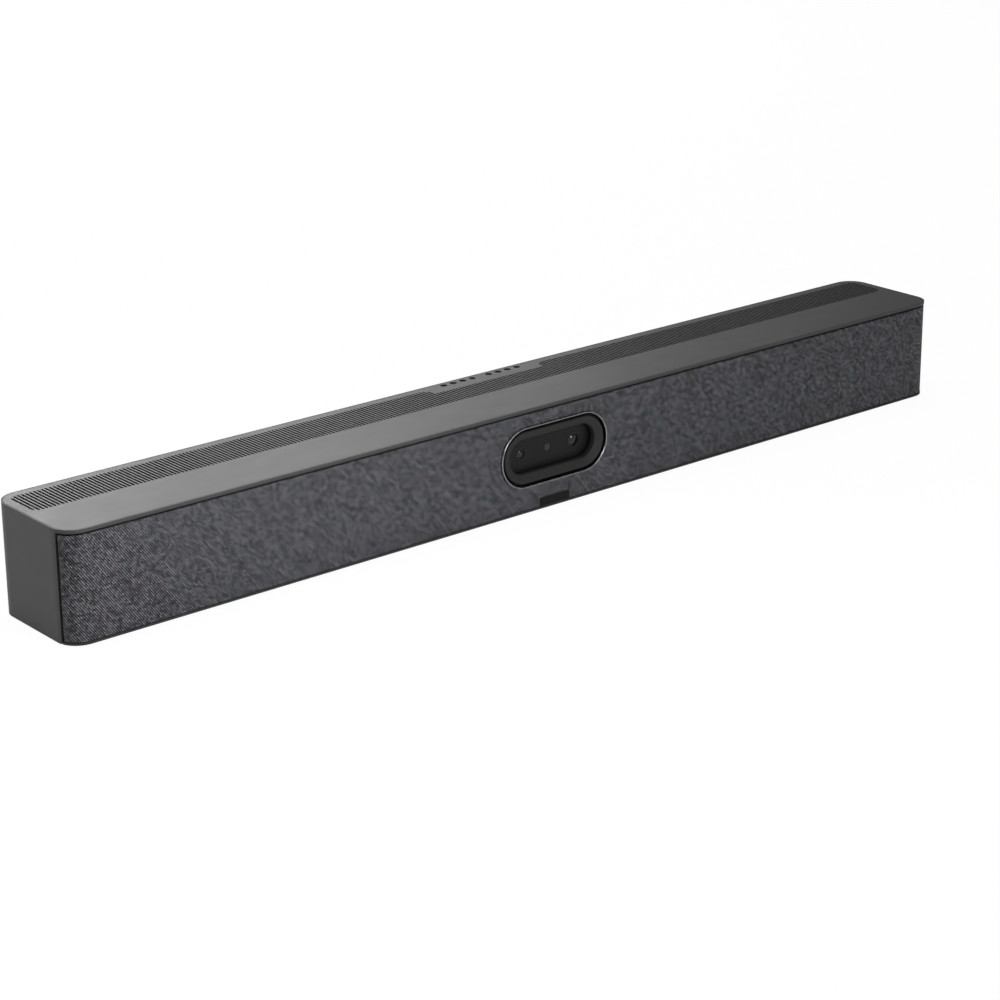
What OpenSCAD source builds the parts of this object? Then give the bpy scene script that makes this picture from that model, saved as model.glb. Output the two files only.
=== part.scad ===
// Conference camera: a long bar with a slotted top, a cloth front and a recessed camera window.
// X runs along the bar, the cloth faces -Y and +Z is up. The origin lies under the middle of the
// bar, on the surface that its feet stand on.
// Places across the bar are depths behind its front plane, and heights are above its underside.

/* [Body] */
// Length of the bar from end to end
bar_w = 785; // [775:5:900]
// Depth of the bar, without the window's trim ring
bar_d = 86; // [86:1:96]
// Height of the bar, without its feet
bar_h = 75.5; // [74.5:0.5:84]
// Radius of the four upright corners
corner_r = 15.4; // [14.6:0.2:18]
// Thickness of the housing's walls
wall_t = 2.4; // [2:0.1:2.6]
// How far the rubber feet stand out of the underside
foot_proud = 1; // [0.6:0.1:2]

/* [Top cover] */
// Thickness of the slotted cover
cover_t = 1.5; // [1.2:0.1:2]
// Height of the housing's rim above the cloth front
rim_h = 2.4; // [2.2:0.1:4]
// Width of the rim round the cover
rim_w = 0.7; // [0.5:0.1:1]
// Width of the joint between rim and cover
joint_w = 0.35; // [0.2:0.05:0.5]
// Spacing of the vent slots
slot_pitch = 2.87; // [2.6:0.01:4]
// Width of one vent slot
slot_w = 1.6; // [1:0.05:1.8]
// Length of one vent slot
slot_len = 32.2; // [24:0.1:36]
// Distance from the back of the bar to the slots
slot_back = 7.3; // [6:0.1:10]
// Distance from each end of the bar to the first slot
slot_end = 7.6; // [7:0.1:14]
// Half the length of the plain strip round the microphones
strip_half = 50.3; // [46:0.1:60]
// Distance from the back of the bar to the front of that strip
strip_back = 16.6; // [13:0.1:20]

/* [Microphones] */
// Microphone ports on each side of the middle
mics_per_side = 4; // [2:1:4]
// Distance from the middle to the first port
mic_near_x = 7.6; // [6:0.1:8]
// Spacing of the ports
mic_pitch = 8.7; // [7:0.1:9]
// Distance from the back of the bar to the ports
mic_back = 5.6; // [5.6:0.1:6.4]
// Radius of the shallow dish round each port
dish_r = 2.5; // [2.3:0.1:2.6]
// Radius of each of the two holes in a port
mic_hole_r = 0.85; // [0.5:0.05:0.9]

/* [Cloth front] */
// Thickness of the cloth
cloth_t = 1; // [0.6:0.1:1.2]
// How far the cloth lies behind the rim's face
cloth_recess = 0.3; // [0.1:0.1:0.6]
// Thickness of the frame that carries the cloth
frame_t = 2; // [1.6:0.1:2.4]
// Height of the shadow gap between rim and cloth
shadow_gap = 1.4; // [1:0.1:2.5]
// Angle round the corner at which the housing ends
seam_angle = 15; // [10:1:20]
// Angle of the open seam between housing and cloth
seam_gap = 6; // [4:1:8]
// Width of the bare name tab
tab_w = 26.6; // [20:0.1:32]
// Height of the bare name tab
tab_h = 6.3; // [5:0.1:8]

/* [Camera window] */
// Height of the window's middle
window_up = 40.6; // [39:0.1:42]
// Half the length of the straight part of the window
window_core = 26.6; // [26:0.1:34]
// Outer radius of the window's round ends
ring_r = 21.9; // [21:0.1:23]
// Width of the bright trim ring
ring_w = 0.9; // [0.6:0.1:1.2]
// How far the trim ring stands out of the front
ring_proud = 1; // [0.4:0.1:1.4]
// Width of the black groove inside the trim ring
groove_w = 2.1; // [1.6:0.1:2.6]
// Radius of the opening's round ends
opening_r = 12.6; // [12:0.1:13]
// Depth of the bezel's inner lip
lip_depth = 2; // [1:0.1:2.6]
// Distance from one camera eye to the next
eye_pitch = 24.3; // [23:0.1:25]
// Radius of the wide camera's eye
wide_r = 3.6; // [3:0.1:4.2]
// Radius of the tele camera's eye
tele_r = 5.1; // [4:0.1:5.4]
// Radius of the light sensor's eye
sensor_r = 2.6; // [2:0.1:3]

/* [Lens shutter] */
// Height of the shutter plate
shutter_h = 16; // [15:0.1:17]
// Thickness of the shutter plate
shutter_t = 1; // [0.8:0.1:1.2]
// Gap between the shutter and what it slides past
slide_gap = 0.3; // [0.25:0.05:0.5]
// Module of the shutter's rack and pinion
gear_module = 0.6; // [0.6:0.01:0.62]
// Teeth on the pinion
pinion_teeth = 16; // [16:1:17]
// Radius of the pinion's shaft
pinion_shaft_r = 0.75; // [0.6:0.05:0.9]

/* [Loudspeakers] */
// Half the length of the bay between the loudspeaker boxes
core_half = 205; // [200:1:225]
// Distance from the end of the bar to its loudspeaker box
box_end = 27.5; // [27:0.5:32]
// Width and height of the driver's flange
driver_w = 56; // [54:0.5:58]
// Radius of the cone
cone_r = 21.6; // [19:0.1:22]
// Travel of the cone each way
cone_stroke = 2; // [1:0.1:2]

/* [Circuit boards] */
// Thickness of the boards
board_t = 1.6; // [1.2:0.1:2]
// Height of the boards that lie flat
board_up = 10.4; // [10:0.1:11]
// Half the length of the main board
main_half = 112; // [108:1:115]

/* [Ports] */
// Width of the port bay in the back
bay_w = 180; // [176:1:190]
// Height of the port bay's floor
bay_up = 9; // [8.4:0.1:9]
// Height of the port bay's mouth
bay_h = 21; // [19:0.1:23]
// Depth of the port bay
bay_depth = 14.2; // [12:0.1:15]
// Travel of the reset button
button_travel = 0.5; // [0.3:0.1:0.5]

/* [Mounting] */
// Radius of the thread in a bracket insert
insert_r = 1.65; // [1.4:0.05:2]
// Spacing of the bracket inserts along the bar
insert_span = 300; // [280:5:320]
// Spacing of the bracket inserts in height
insert_rise = 30; // [24:1:34]

/* [Hidden] */
$fn = 48;
// Overrun of a cut past the face that it leaves by
over = 1;
// Clearance between fixed pieces that fit into each other
fit = 0.2;
// Clearance round a shaft or a sliding pin
running = 0.06;
front_y = -(bar_d - ring_proud)/2;
mid_y = front_y + bar_d/2;
base_z = foot_proud;

// Depths of the layers behind the front
skin_gap = 0.1;
frame_in = cloth_recess + cloth_t + skin_gap;
frame_back = frame_in + frame_t;
peg_gap = 0.4;
baffle_in = frame_back + peg_gap;
baffle_t = 2.5;
baffle_back = baffle_in + baffle_t;
baffle_return = 30;
shutter_in = baffle_back + slide_gap;
shutter_back = shutter_in + shutter_t;
panel_in = shutter_back + slide_gap;
panel_t = 1.5;
panel_back = panel_in + panel_t;
bracket_t = 2.6;
bracket_back = panel_back + bracket_t;

// Housing, cover and bottom plate
ledge_w = 1.2;
ledge_t = rim_h - cover_t;
ledge_in = wall_t + ledge_w;
plate_t = 1.6;
plate_gap = 0.3;
boss_r = 3.2;
boss_h = 14;
rear_boss_back = wall_t + boss_r - fit;
rear_boss_shares = [0.331, 0.637, 0.943];
front_boss_inner = 26.8275;
front_boss_mid = 21.31;
front_boss_end = 12.56;
front_boss_r = 2.7;
pad_from = 18;
pad_low = 12;
pad_h = 50;
pad_screw_rise = 15;
hook_pitch = 70;
hook_w = 5;
hook_t = 0.9;
hook_lip = 0.7;
baffle_high = bar_h - rim_h - hook_t - 2*fit;
foot_w = 30;
foot_d = 8;
foot_sink = 0.6;
foot_end = 42;
foot_side = 12;
inlet_w = 2.2;
inlet_d = 30;
inlet_pitch = 6;
inlets = 21;

// Slots and microphone ports
field_r = 6.5;
field_end_r = 5.5;
dish_depth = 0.5;
port_skew_x = 0.8;
port_skew_y = 1.6;
mic_half = mic_near_x + (mics_per_side - 1)*mic_pitch + 3*dish_r;
mic_strip_d = 6.2;
gasket_t = 1.6;
mic_board_t = 1.2;

// Cloth frame
cloth_low = plate_t + fit;
cloth_high = bar_h - rim_h - shadow_gap;
sound_pitch = 6;
sound_w = 3.8;
sound_h = 50;
sound_columns = 25;
peg_r = 2;
peg_shares = [0.17, 0.49, 0.95];
peg_end = 6.2;
tab_low = 1.9;
tab_proud = 0.3;
tab_r = 0.9;

// Camera window
bezel_r = ring_r - ring_w - groove_w;
bezel_proud = 0.6;
bezel_round = 0.9;
lip_round = 0.5;
ring_round = 0.25;
flange_t = 1.2;
hide_gap = 0.5;
panel_lap = 1.6;
panel_r = opening_r + panel_lap;
barrel_gap = 0.15;
wide_body_r = 6;
tele_body_r = 7;
barrel_flange = 1.2;
barrel_flange_t = 1.8;
lens_len = 10;
lens_back = bracket_back + lens_len;
glass_t = 1.2;
glass_rise = 0.7;
eye_sink = 0.2;
image_board_w = 15;
image_board_t = 1.2;
image_chip_w = 8;

// Shutter, rack and pinion
shutter_half = window_core + panel_r + fit;
shutter_low = window_up + opening_r + hide_gap;
shutter_travel = shutter_low + shutter_h/2 - window_up;
pitch_r = gear_module*pinion_teeth/2;
tooth_pitch = PI*gear_module;
tip_share = 0.75;
root_share = 1.2;
pressure_angle = 20;
backlash = 0.14;
rack_gap = 1.5;
rack_w = 3;
rack_t = 2;
rack_x = shutter_half + rack_gap;
rack_pitch_x = rack_x + rack_w + root_share*gear_module;
rack_high = shutter_low + shutter_h;
mesh_reach = 3.2;
pinion_up = rack_high - shutter_travel - mesh_reach;
pinion_x = rack_pitch_x + pitch_r;
pinion_clear = 0.1;
rail_w = 2;
shaft_reach = 3;
shaft_end = bracket_back + shaft_reach;
gearbox_r = 6;
gearbox_len = 10;
motor_r = 5;
motor_len = 12;

// Camera bracket and its board
bracket_margin = 11;
bracket_half = pinion_x + bracket_margin;
bracket_low = 20.5;
bracket_top_gap = 4.5;
bracket_high = bar_h - bracket_top_gap;
bracket_post_r = 2.8;
bracket_screw_in = 4.2;
board_margin = 19;
camera_board_half = eye_pitch + board_margin;
camera_board_gap = 16;
camera_board_in = bracket_back + camera_board_gap;
camera_board_rise = 3.5;
camera_board_low = bracket_low + camera_board_rise;
camera_board_h = 36;
camera_post_r = 2;
camera_post_in = 4;

// Ports, as seen from the front: place along the bar and outer size
port_gap = 0.25;
port_proud = 0.3;
jack_x = -74;
jack_w = 9;
jack_h = 11;
jack_len = 14;
jack_hole_r = 3.2;
jack_pin_r = 1;
audio_x = -52;
audio_w = 6.6;
audio_h = 6;
audio_len = 12;
audio_hole_r = 1.8;
hdmi_x = -32;
hdmi_pitch = 22;
hdmi_w = 15;
hdmi_h = 5.6;
hdmi_len = 12;
usb_x = 14;
usb_pitch = 18;
usb_w = 13.1;
usb_h = 5.8;
usb_len = 14;
shell_t = 0.35;
tongue_t = 1.2;
tongue_in = 1.4;
ethernet_x = 56;
ethernet_w = 16;
ethernet_h = 13.4;
ethernet_len = 21;
ethernet_hole_w = 11.8;
ethernet_hole_h = 8;
ethernet_hole_d = 13;
ethernet_key_w = 6.2;
ethernet_key_h = 2.4;
button_x = 76;
button_r = 1.5;
button_collar_r = 2.4;
button_collar_t = 1;
button_sink = 0.5;
button_rise = 4;
switch_w = 6;
switch_h = 7;
switch_d = 4;
switch_gap = 0.1;
flange_w = 6;
tray_screw_x = 60;

// Boards that lie flat
board_high = board_up + board_t;
main_in = 13;
tray_t = 1.8;
bay_floor = bar_d - bay_depth;
main_back = bay_floor - tray_t - fit;
side_board_in = 14;
board_gap = 10;
link_gap = 15;
side_board_w = core_half - board_gap - link_gap - main_half;
side_board_x = main_half + link_gap;
side_board_back = 19.6;
side_board_d = bar_d - wall_t - side_board_in - side_board_back;
post_in = 7;
post_r = 3;
chip_t = 1.6;
sink_w = 90;
sink_in = 34;
sink_back_gap = 1.1;
sink_d = bay_floor + port_proud - usb_len - sink_back_gap - sink_in;
chip_margin = 1.5;
chip_w = sink_d - 2*chip_margin;
chip_depth = sink_in + sink_d/2;
sink_h = 45;
sink_base_t = 4;
sink_fins = 15;
fin_t = 1.8;
can_t = 3;
capacitor_r = 4.5;
capacitor_h = 15;
coil_block_w = 22;
coil_block_h = 17;
socket_w = 6;
socket_d = 4;
socket_h = 2.4;
ribbon_w = 14;
ribbon_t = 0.3;
link_w = 16;
antenna_w = 28;
antenna_h = 12;
antenna_t = 0.8;
antenna_gap = 11;
antenna_low = 50;

// Loudspeakers
box_w = bar_w/2 - box_end - core_half;
driver_x = core_half + box_w/2;
driver_up = bar_h/2;
driver_r = 6;
driver_screw_in = 3.6;
box_low = 5;
box_top_gap = 6.5;
box_h = bar_h - box_low - box_top_gap;
box_back_gap = 13.3;
box_d = bar_d - baffle_back - wall_t - box_back_gap;
box_wall = 2.2;
box_front = 2.5;
ear_w = 8;
ear_h = 8;
ear_gap = 3;
basket_in = baffle_in + fit;
basket_wall = 1.3;
basket_lap = 4.4;
basket_r = cone_r + basket_lap;
basket_neck_r = 15;
basket_len = 17;
basket_windows = 6;
basket_window_w = 10;
magnet_r = 18;
magnet_len = 14;
coil_r = 8;
coil_t = 0.5;
coil_gap = 0.6;
coil_reach = 7;
cone_sink = 0.4;
cone_in = baffle_back + cone_sink;
cone_t = 0.6;
cone_len = 10;
cap_len = 4;
surround_w = 3.2;
surround_t = 0.7;
surround_gap = 0.4;
land_r = cone_r + surround_gap + surround_w + fit;
lead_r = 1;
lead_bend = 8;
lead_up = 30;
lead_depth = 40;
lead_run = 6;

// Screws and inserts
screw_r = 1.2;
screw_head_r = 2.4;
screw_head_h = 0.9;
screw_gap = 0.05;
screw_len = 8;
slot_share = 0.5;
small_screw_r = 0.9;
small_head_r = 1.7;
small_head_h = 0.8;
small_screw_len = 3.2;
blind_gap = 0.1;
cross_share = 0.3;
insert_wall = 1.2;
insert_len = 8;
insert_boss_wall = 1.8;
antenna_x = insert_span/2 + insert_r + insert_wall + insert_boss_wall + antenna_gap + antenna_w/2;
insert_low = (bar_h - insert_rise)/2;

// Outline of the bar from above, drawn in from its edge
module plan(inset) {
    translate([0, mid_y])
        union() {
            square([bar_w - 2*inset, bar_d - 2*corner_r], center = true);
            square([bar_w - 2*corner_r, bar_d - 2*inset], center = true);
            for (side = [-1, 1], end = [-1, 1])
                translate([side*(bar_w/2 - corner_r), end*(bar_d/2 - corner_r)])
                    circle(corner_r - inset);
        }
}

// Everything in front of two radial lines through the front corners, from above
module front_zone(angle) {
    reach = 3*corner_r;
    x = bar_w/2 - corner_r;
    y = front_y + corner_r;
    polygon([
        [-x, y],
        [-x - reach*cos(angle), y - reach*sin(angle)],
        [-x - reach, y - reach],
        [x + reach, y - reach],
        [x + reach*cos(angle), y - reach*sin(angle)],
        [x, y]
    ]);
}

// The band between two insets, in front of the seams
module front_band(outer, inner, angle) {
    intersection() {
        difference() {
            plan(outer);
            plan(inner);
        }
        front_zone(angle);
    }
}

// A prism between two heights above the underside
module rise(low, high) {
    translate([0, 0, base_z + low])
        linear_extrude(high - low)
            children();
}

// A slab between two depths behind the front, drawn as seen from the front
module slab(from, to) {
    translate([0, front_y + to, base_z])
        rotate([90, 0, 0])
            linear_extrude(to - from)
                children();
}

// A straight block between two corners: place along the bar, depth, height
module block(x, depth, up, size) {
    translate([x - size[0]/2, front_y + depth, base_z + up])
        cube(size);
}

// A round rod along the depth of the bar
module rod(x, up, from, to, r) {
    translate([x, front_y + from, base_z + up])
        rotate([-90, 0, 0])
            cylinder(h = to - from, r = r);
}

// An upright round post
module post(x, depth, low, high, r) {
    translate([x, front_y + depth, base_z + low])
        cylinder(h = high - low, r = r);
}

// The window's stadium outline, as seen from the front
module stadium(r) {
    translate([0, window_up])
        union() {
            square([2*window_core, 2*r], center = true);
            for (end = [-1, 1])
                translate([end*window_core, 0])
                    circle(r);
        }
}

// A profile of radius and depth carried once round the stadium
module round_stadium(points) {
    translate([0, front_y, base_z + window_up])
        rotate([90, 0, 0])
            for (turn = [0, 180])
                rotate([0, 0, turn])
                    union() {
                        translate([window_core, 0, 0])
                            rotate_extrude(angle = 180, start = -90)
                                polygon(points);
                        translate([-window_core, 0, 0])
                            rotate([90, 0, 90])
                                linear_extrude(2*window_core)
                                    polygon(points);
                    }
}

// A square with rounded corners
module rounded(w, h, r) {
    union() {
        square([w - 2*r, h], center = true);
        square([w, h - 2*r], center = true);
        for (side = [-1, 1], end = [-1, 1])
            translate([side*(w/2 - r), end*(h/2 - r)])
                circle(r);
    }
}

// A pan-head screw that points up, its head's flat face at the bottom
module screw(shank_r, head_r, head_h, length) {
    difference() {
        union() {
            cylinder(h = head_h, r = head_r);
            cylinder(h = head_h + length, r = shank_r);
        }
        for (turn = [0, 90])
            rotate([0, 0, turn])
                cube([2*head_r*slot_share, head_r*cross_share, head_h], center = true);
    }
}

// The field of slots ends at the same distance from both ends of the bar
function field_half() = bar_w/2 - slot_end;
function slot_reach() = field_half() - slot_w/2;
function slot_steps() = round(2*slot_reach()/slot_pitch);
// How much a slot is shortened at distance d from the end of a field with corners of radius r
function field_cut(d, r) = d >= r ? 0 : r - sqrt(r*r - pow(r - d, 2));
// That cut for a slot centred at x, from the end of the field
function end_cut(x) = field_cut(field_half() - abs(x), field_end_r);
function strip_cut(x) = abs(x) < strip_half ? strip_back - slot_back : field_cut(abs(x) - strip_half, field_r);

module vent_slots() {
    step = 2*slot_reach()/slot_steps();
    for (i = [0:slot_steps()]) {
        x = i*step - slot_reach();
        back_cut = max(end_cut(x), strip_cut(x));
        low = front_y + bar_d - slot_back - slot_len + end_cut(x);
        translate([x - slot_w/2, low])
            square([slot_w, slot_len - end_cut(x) - back_cut]);
    }
}

function mic_x() = [for (side = [-1, 1], i = [0:mics_per_side - 1]) side*(mic_near_x + i*mic_pitch)];

module mic_holes(r) {
    for (x = mic_x(), end = [-1, 1])
        translate([x + end*port_skew_x, front_y + bar_d - mic_back - end*port_skew_y])
            circle(r);
}

module top_cover() {
    hooks = floor((bar_w/2 - 2*corner_r)/hook_pitch);
    color("#7a7a7a")
        difference() {
            union() {
                rise(bar_h - cover_t, bar_h)
                    difference() {
                        plan(rim_w + joint_w);
                        vent_slots();
                        mic_holes(mic_hole_r);
                    }
                for (i = [-hooks:hooks])
                    snap_hook(i*hook_pitch);
                for (i = [-hooks:hooks])
                    if (abs(i*hook_pitch) > mic_half + hook_w)
                        translate([0, 2*mid_y, 0])
                            mirror([0, 1, 0])
                                snap_hook(i*hook_pitch);
            }
            for (x = mic_x())
                post(x, bar_d - mic_back, bar_h - dish_depth, bar_h + over, dish_r);
        }
}

// A hook under the cover that grips the front ledge
module snap_hook(x) {
    low = bar_h - cover_t - ledge_t - running - hook_t;
    union() {
        block(x, ledge_in + fit, low, [hook_w, hook_t, bar_h - cover_t/2 - low]);
        block(x, ledge_in + fit - hook_lip, low, [hook_w, hook_lip + hook_t, hook_t]);
    }
}

function rear_bosses() = [for (side = [-1, 1], share = rear_boss_shares) side*share*bar_w/2];
function front_bosses() = [for (side = [-1, 1],
        x = [main_half - front_boss_inner, core_half - front_boss_mid, bar_w/2 - front_boss_end]) side*x];
function insert_places() = [for (side = [-1, 1], end = [0, 1]) [side*insert_span/2, insert_low + end*insert_rise]];

module housing() {
    color("#5c5c5c")
        difference() {
            union() {
                housing_shell();
                for (x = rear_bosses())
                    post(x, bar_d - rear_boss_back, plate_t, boss_h, boss_r);
                for (place = insert_places())
                    rod(place[0], place[1], bar_d - insert_len - fit, bar_d - fit,
                        insert_r + insert_wall + insert_boss_wall);
                for (side = [-1, 1])
                    block(side*(bar_w/2 - (baffle_in + wall_t - over)/2), pad_from, pad_low,
                        [baffle_in - wall_t + over, baffle_return - pad_from, pad_h]);
            }
            for (x = rear_bosses())
                post(x, bar_d - rear_boss_back, plate_t - over, boss_h - over, screw_r + screw_gap);
            for (place = insert_places())
                rod(place[0], place[1], bar_d - insert_len, bar_d + over, insert_r + insert_wall + screw_gap);
            block(0, bar_d - wall_t - over, bay_up, [bay_w, wall_t + 2*over, bay_h]);
            for (place = tray_screw_places())
                rod(place[0], place[1], bar_d - wall_t - over, bar_d - wall_t - tray_t + small_screw_len + blind_gap,
                    small_screw_r + screw_gap);
            rise(bar_h - rim_h - over, bar_h - cover_t + over)
                translate([0, front_y + bar_d - wall_t - ledge_w])
                    square([2*mic_half + 2*fit, 2*ledge_w], center = true);
            for (place = baffle_screw_places())
                baffle_screw_axis(place)
                    cylinder(h = screw_head_h + baffle_t + over + fit/2, r = screw_r + screw_gap);
        }
}

module housing_shell() {
    difference() {
        rise(0, bar_h)
            plan(0);
        rise(plate_t + ledge_t, bar_h - rim_h)
            plan(wall_t);
        rise(-over, bar_h + over)
            plan(ledge_in);
        rise(bar_h - cover_t, bar_h + over)
            plan(rim_w);
        rise(-over, plate_t)
            plan(rim_w);
        rise(-over, bar_h - rim_h)
            front_zone(seam_angle);
    }
}

module bottom_plate() {
    color("#3a3a3a")
        difference() {
            union() {
                rise(0, plate_t)
                    union() {
                        plan(rim_w + plate_gap);
                        intersection() {
                            plan(0);
                            front_zone(seam_angle + seam_gap/2);
                        }
                    }
                for (place = board_posts())
                    post(place[0], place[1], plate_t - over/2, board_up, post_r);
            }
            for (place = board_posts())
                post(place[0], place[1], plate_t, board_up + over, screw_r + screw_gap);
            for (place = bottom_screw_places()) {
                post(place[0], place[1], -over, plate_t + over, screw_r + fit);
                post(place[0], place[1], -over, screw_head_h, screw_head_r + fit);
            }
            for (place = foot_places())
                translate([place[0], front_y + place[1]])
                    rise(-over, foot_sink)
                        rounded(foot_w, foot_d, foot_d/2 - running);
            for (i = [0:inlets - 1])
                block((i - (inlets - 1)/2)*inlet_pitch, main_in + post_in, -over,
                    [inlet_w, inlet_d, plate_t + 2*over]);
        }
}

function board_posts() = concat(
    [for (side = [-1, 1], depth = [main_in + post_in, main_back - post_in]) [side*(main_half - post_in), depth]],
    [for (side = [-1, 1], end = [post_in, side_board_w - post_in],
          depth = [side_board_in + post_in, side_board_in + side_board_d - post_in])
        [side*(side_board_x + end), depth]]
);
function bottom_screw_places() = concat(
    [for (x = rear_bosses()) [x, bar_d - rear_boss_back]],
    [for (x = front_bosses()) [x, baffle_back + front_boss_r]]
);
function foot_places() = [for (side = [-1, 1], end = [-1, 1])
    [side*(bar_w/2 - foot_end), bar_d/2 + end*(bar_d/2 - foot_side)]];

// Screws that hold the baffle's returns to the sides: end, depth, height
function baffle_screw_places() = [for (side = [-1, 1], end = [-1, 1])
    [side, (pad_from + baffle_return)/2, pad_low + pad_h/2 + end*pad_screw_rise]];

module baffle_screw_axis(place) {
    head_x = bar_w/2 - baffle_back - screw_head_h;
    translate([place[0]*head_x, front_y + place[1], base_z + place[2]])
        rotate([0, place[0]*90, 0])
            children();
}

module front_baffle() {
    color("#262626")
        difference() {
            union() {
                rise(plate_t + fit, baffle_high)
                    difference() {
                        plan(baffle_in);
                        plan(baffle_back);
                        translate([-bar_w, front_y + baffle_return])
                            square([2*bar_w, bar_d]);
                    }
                for (x = front_bosses())
                    post(x, baffle_back + front_boss_r - fit, plate_t + fit, boss_h, front_boss_r);
            }
            slab(baffle_in - over, baffle_back + over)
                stadium(bezel_r + fit);
            for (side = [-1, 1])
                slab(baffle_in - over, baffle_back + over)
                    translate([side*driver_x, driver_up])
                        rounded(driver_w + 2*fit, driver_w + 2*fit, driver_r + fit);
            for (x = front_bosses())
                post(x, baffle_back + front_boss_r, plate_t - over, boss_h - over, screw_r + screw_gap);
            for (place = peg_places())
                rod(place[0], place[1], baffle_in - over, baffle_back + over, peg_r + peg_gap/4);
            for (place = baffle_screw_places())
                baffle_screw_axis(place)
                    cylinder(h = screw_head_h + screw_len, r = screw_r + fit);
            for (place = camera_screw_places())
                rod(place[0], place[1], baffle_in + over/2, baffle_back + over, screw_r + screw_gap);
            for (place = box_screw_places())
                rod(place[0], place[1], baffle_in + over/2, baffle_back + over, screw_r + screw_gap);
        }
}

function peg_places() = [for (side = [-1, 1], share = peg_shares, up = [cloth_low + peg_end, cloth_high - peg_end])
    [side*share*bar_w/2, up]];

module grille_frame() {
    color("#1e1e1e")
        difference() {
            union() {
                rise(cloth_low + cloth_t, cloth_high - cloth_t)
                    front_band(frame_in, frame_back, seam_angle + seam_gap);
                for (place = peg_places())
                    rod(place[0], place[1], frame_back - over/2, baffle_back, peg_r);
            }
            slab(frame_in - over, frame_back + over)
                stadium(ring_r + fit);
            for (side = [-1, 1], i = [0:sound_columns - 1])
                block(side*driver_x + (i - (sound_columns - 1)/2)*sound_pitch, frame_in - over,
                    driver_up - sound_h/2, [sound_w, frame_t + 2*over, sound_h]);
        }
}

module grille_cloth() {
    color("#505058")
        difference() {
            rise(cloth_low, cloth_high)
                front_band(cloth_recess, cloth_recess + cloth_t, seam_angle + seam_gap);
            slab(cloth_recess - over, frame_in + over)
                stadium(ring_r + fit);
        }
}

module name_tab() {
    color("#0a0a0a")
        slab(-tab_proud, cloth_recess)
            translate([0, tab_low + tab_h/2])
                rounded(tab_w, tab_h, tab_r);
}

module trim_ring() {
    inner = ring_r - ring_w;
    color("#b8b8b8")
        round_stadium([
            [inner, -baffle_in],
            [ring_r, -baffle_in],
            [ring_r, ring_proud - ring_round],
            [ring_r - ring_round, ring_proud],
            [inner + ring_round, ring_proud],
            [inner, ring_proud - ring_round]
        ]);
}

module window_bezel() {
    flange_r = ring_r - ring_w - fit;
    color("#333333")
        round_stadium([
            [opening_r, -baffle_back],
            [bezel_r, -baffle_back],
            [bezel_r, -baffle_in],
            [flange_r, -baffle_in],
            [flange_r, flange_t - baffle_in],
            [bezel_r, flange_t - baffle_in],
            [bezel_r, bezel_proud - bezel_round],
            [bezel_r - bezel_round/3, bezel_proud - bezel_round/3],
            [bezel_r - bezel_round, bezel_proud],
            [opening_r + lip_round, -lip_depth],
            [opening_r, -lip_depth - lip_round]
        ]);
}

module lens_panel() {
    color("#1c1c1c")
        slab(panel_in, panel_back)
            difference() {
                stadium(panel_r);
                eye_holes(barrel_gap);
            }
}

module eye_holes(gap) {
    translate([-eye_pitch, window_up])
        circle(wide_r + gap);
    translate([0, window_up])
        circle(sensor_r + gap);
    translate([eye_pitch, window_up])
        circle(tele_r + gap);
}

// A lens barrel: nose through the panel, flange behind the bracket, then the body
module lens_barrel(x, nose_r, body_r) {
    difference() {
        union() {
            rod(x, window_up, panel_in + eye_sink, bracket_back + over, nose_r);
            rod(x, window_up, bracket_back, bracket_back + barrel_flange_t, body_r + barrel_flange);
            rod(x, window_up, bracket_back, lens_back, body_r);
        }
        rod(x, window_up, panel_in + eye_sink - over, panel_in + eye_sink + glass_t, nose_r - barrel_flange/2);
    }
}

// A domed front glass in the mouth of its barrel
module lens_glass(x, nose_r) {
    r = nose_r - barrel_flange/2 - screw_gap;
    dome_r = (r*r + glass_rise*glass_rise)/(2*glass_rise);
    back = panel_in + eye_sink + glass_t;
    intersection() {
        rod(x, window_up, back - glass_t - glass_rise, back, r);
        translate([x, front_y + back - glass_t + dome_r, base_z + window_up])
            sphere(dome_r);
    }
}

module light_sensor() {
    color("#151515")
        union() {
            rod(0, window_up, panel_in + eye_sink, bracket_back + over, sensor_r);
            rod(0, window_up, bracket_back, bracket_back + barrel_flange_t, sensor_r + barrel_flange);
        }
}

module image_boards() {
    color("#1f4a2c")
        for (x = [-eye_pitch, eye_pitch])
            union() {
                block(x, lens_back, window_up - image_board_w/2, [image_board_w, image_board_t, image_board_w]);
                block(x, lens_back + image_board_t, window_up - image_chip_w/2,
                    [image_chip_w, image_board_t, image_chip_w]);
            }
}

function camera_screw_places() = [for (side = [-1, 1], up = [bracket_low + bracket_screw_in, bracket_high - bracket_screw_in])
    [side*(bracket_half - bracket_screw_in), up]];
function camera_posts() = [for (side = [-1, 1], up = [camera_post_in, camera_board_h - camera_post_in])
    [side*(camera_board_half - camera_post_in), camera_board_low + up]];

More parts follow.
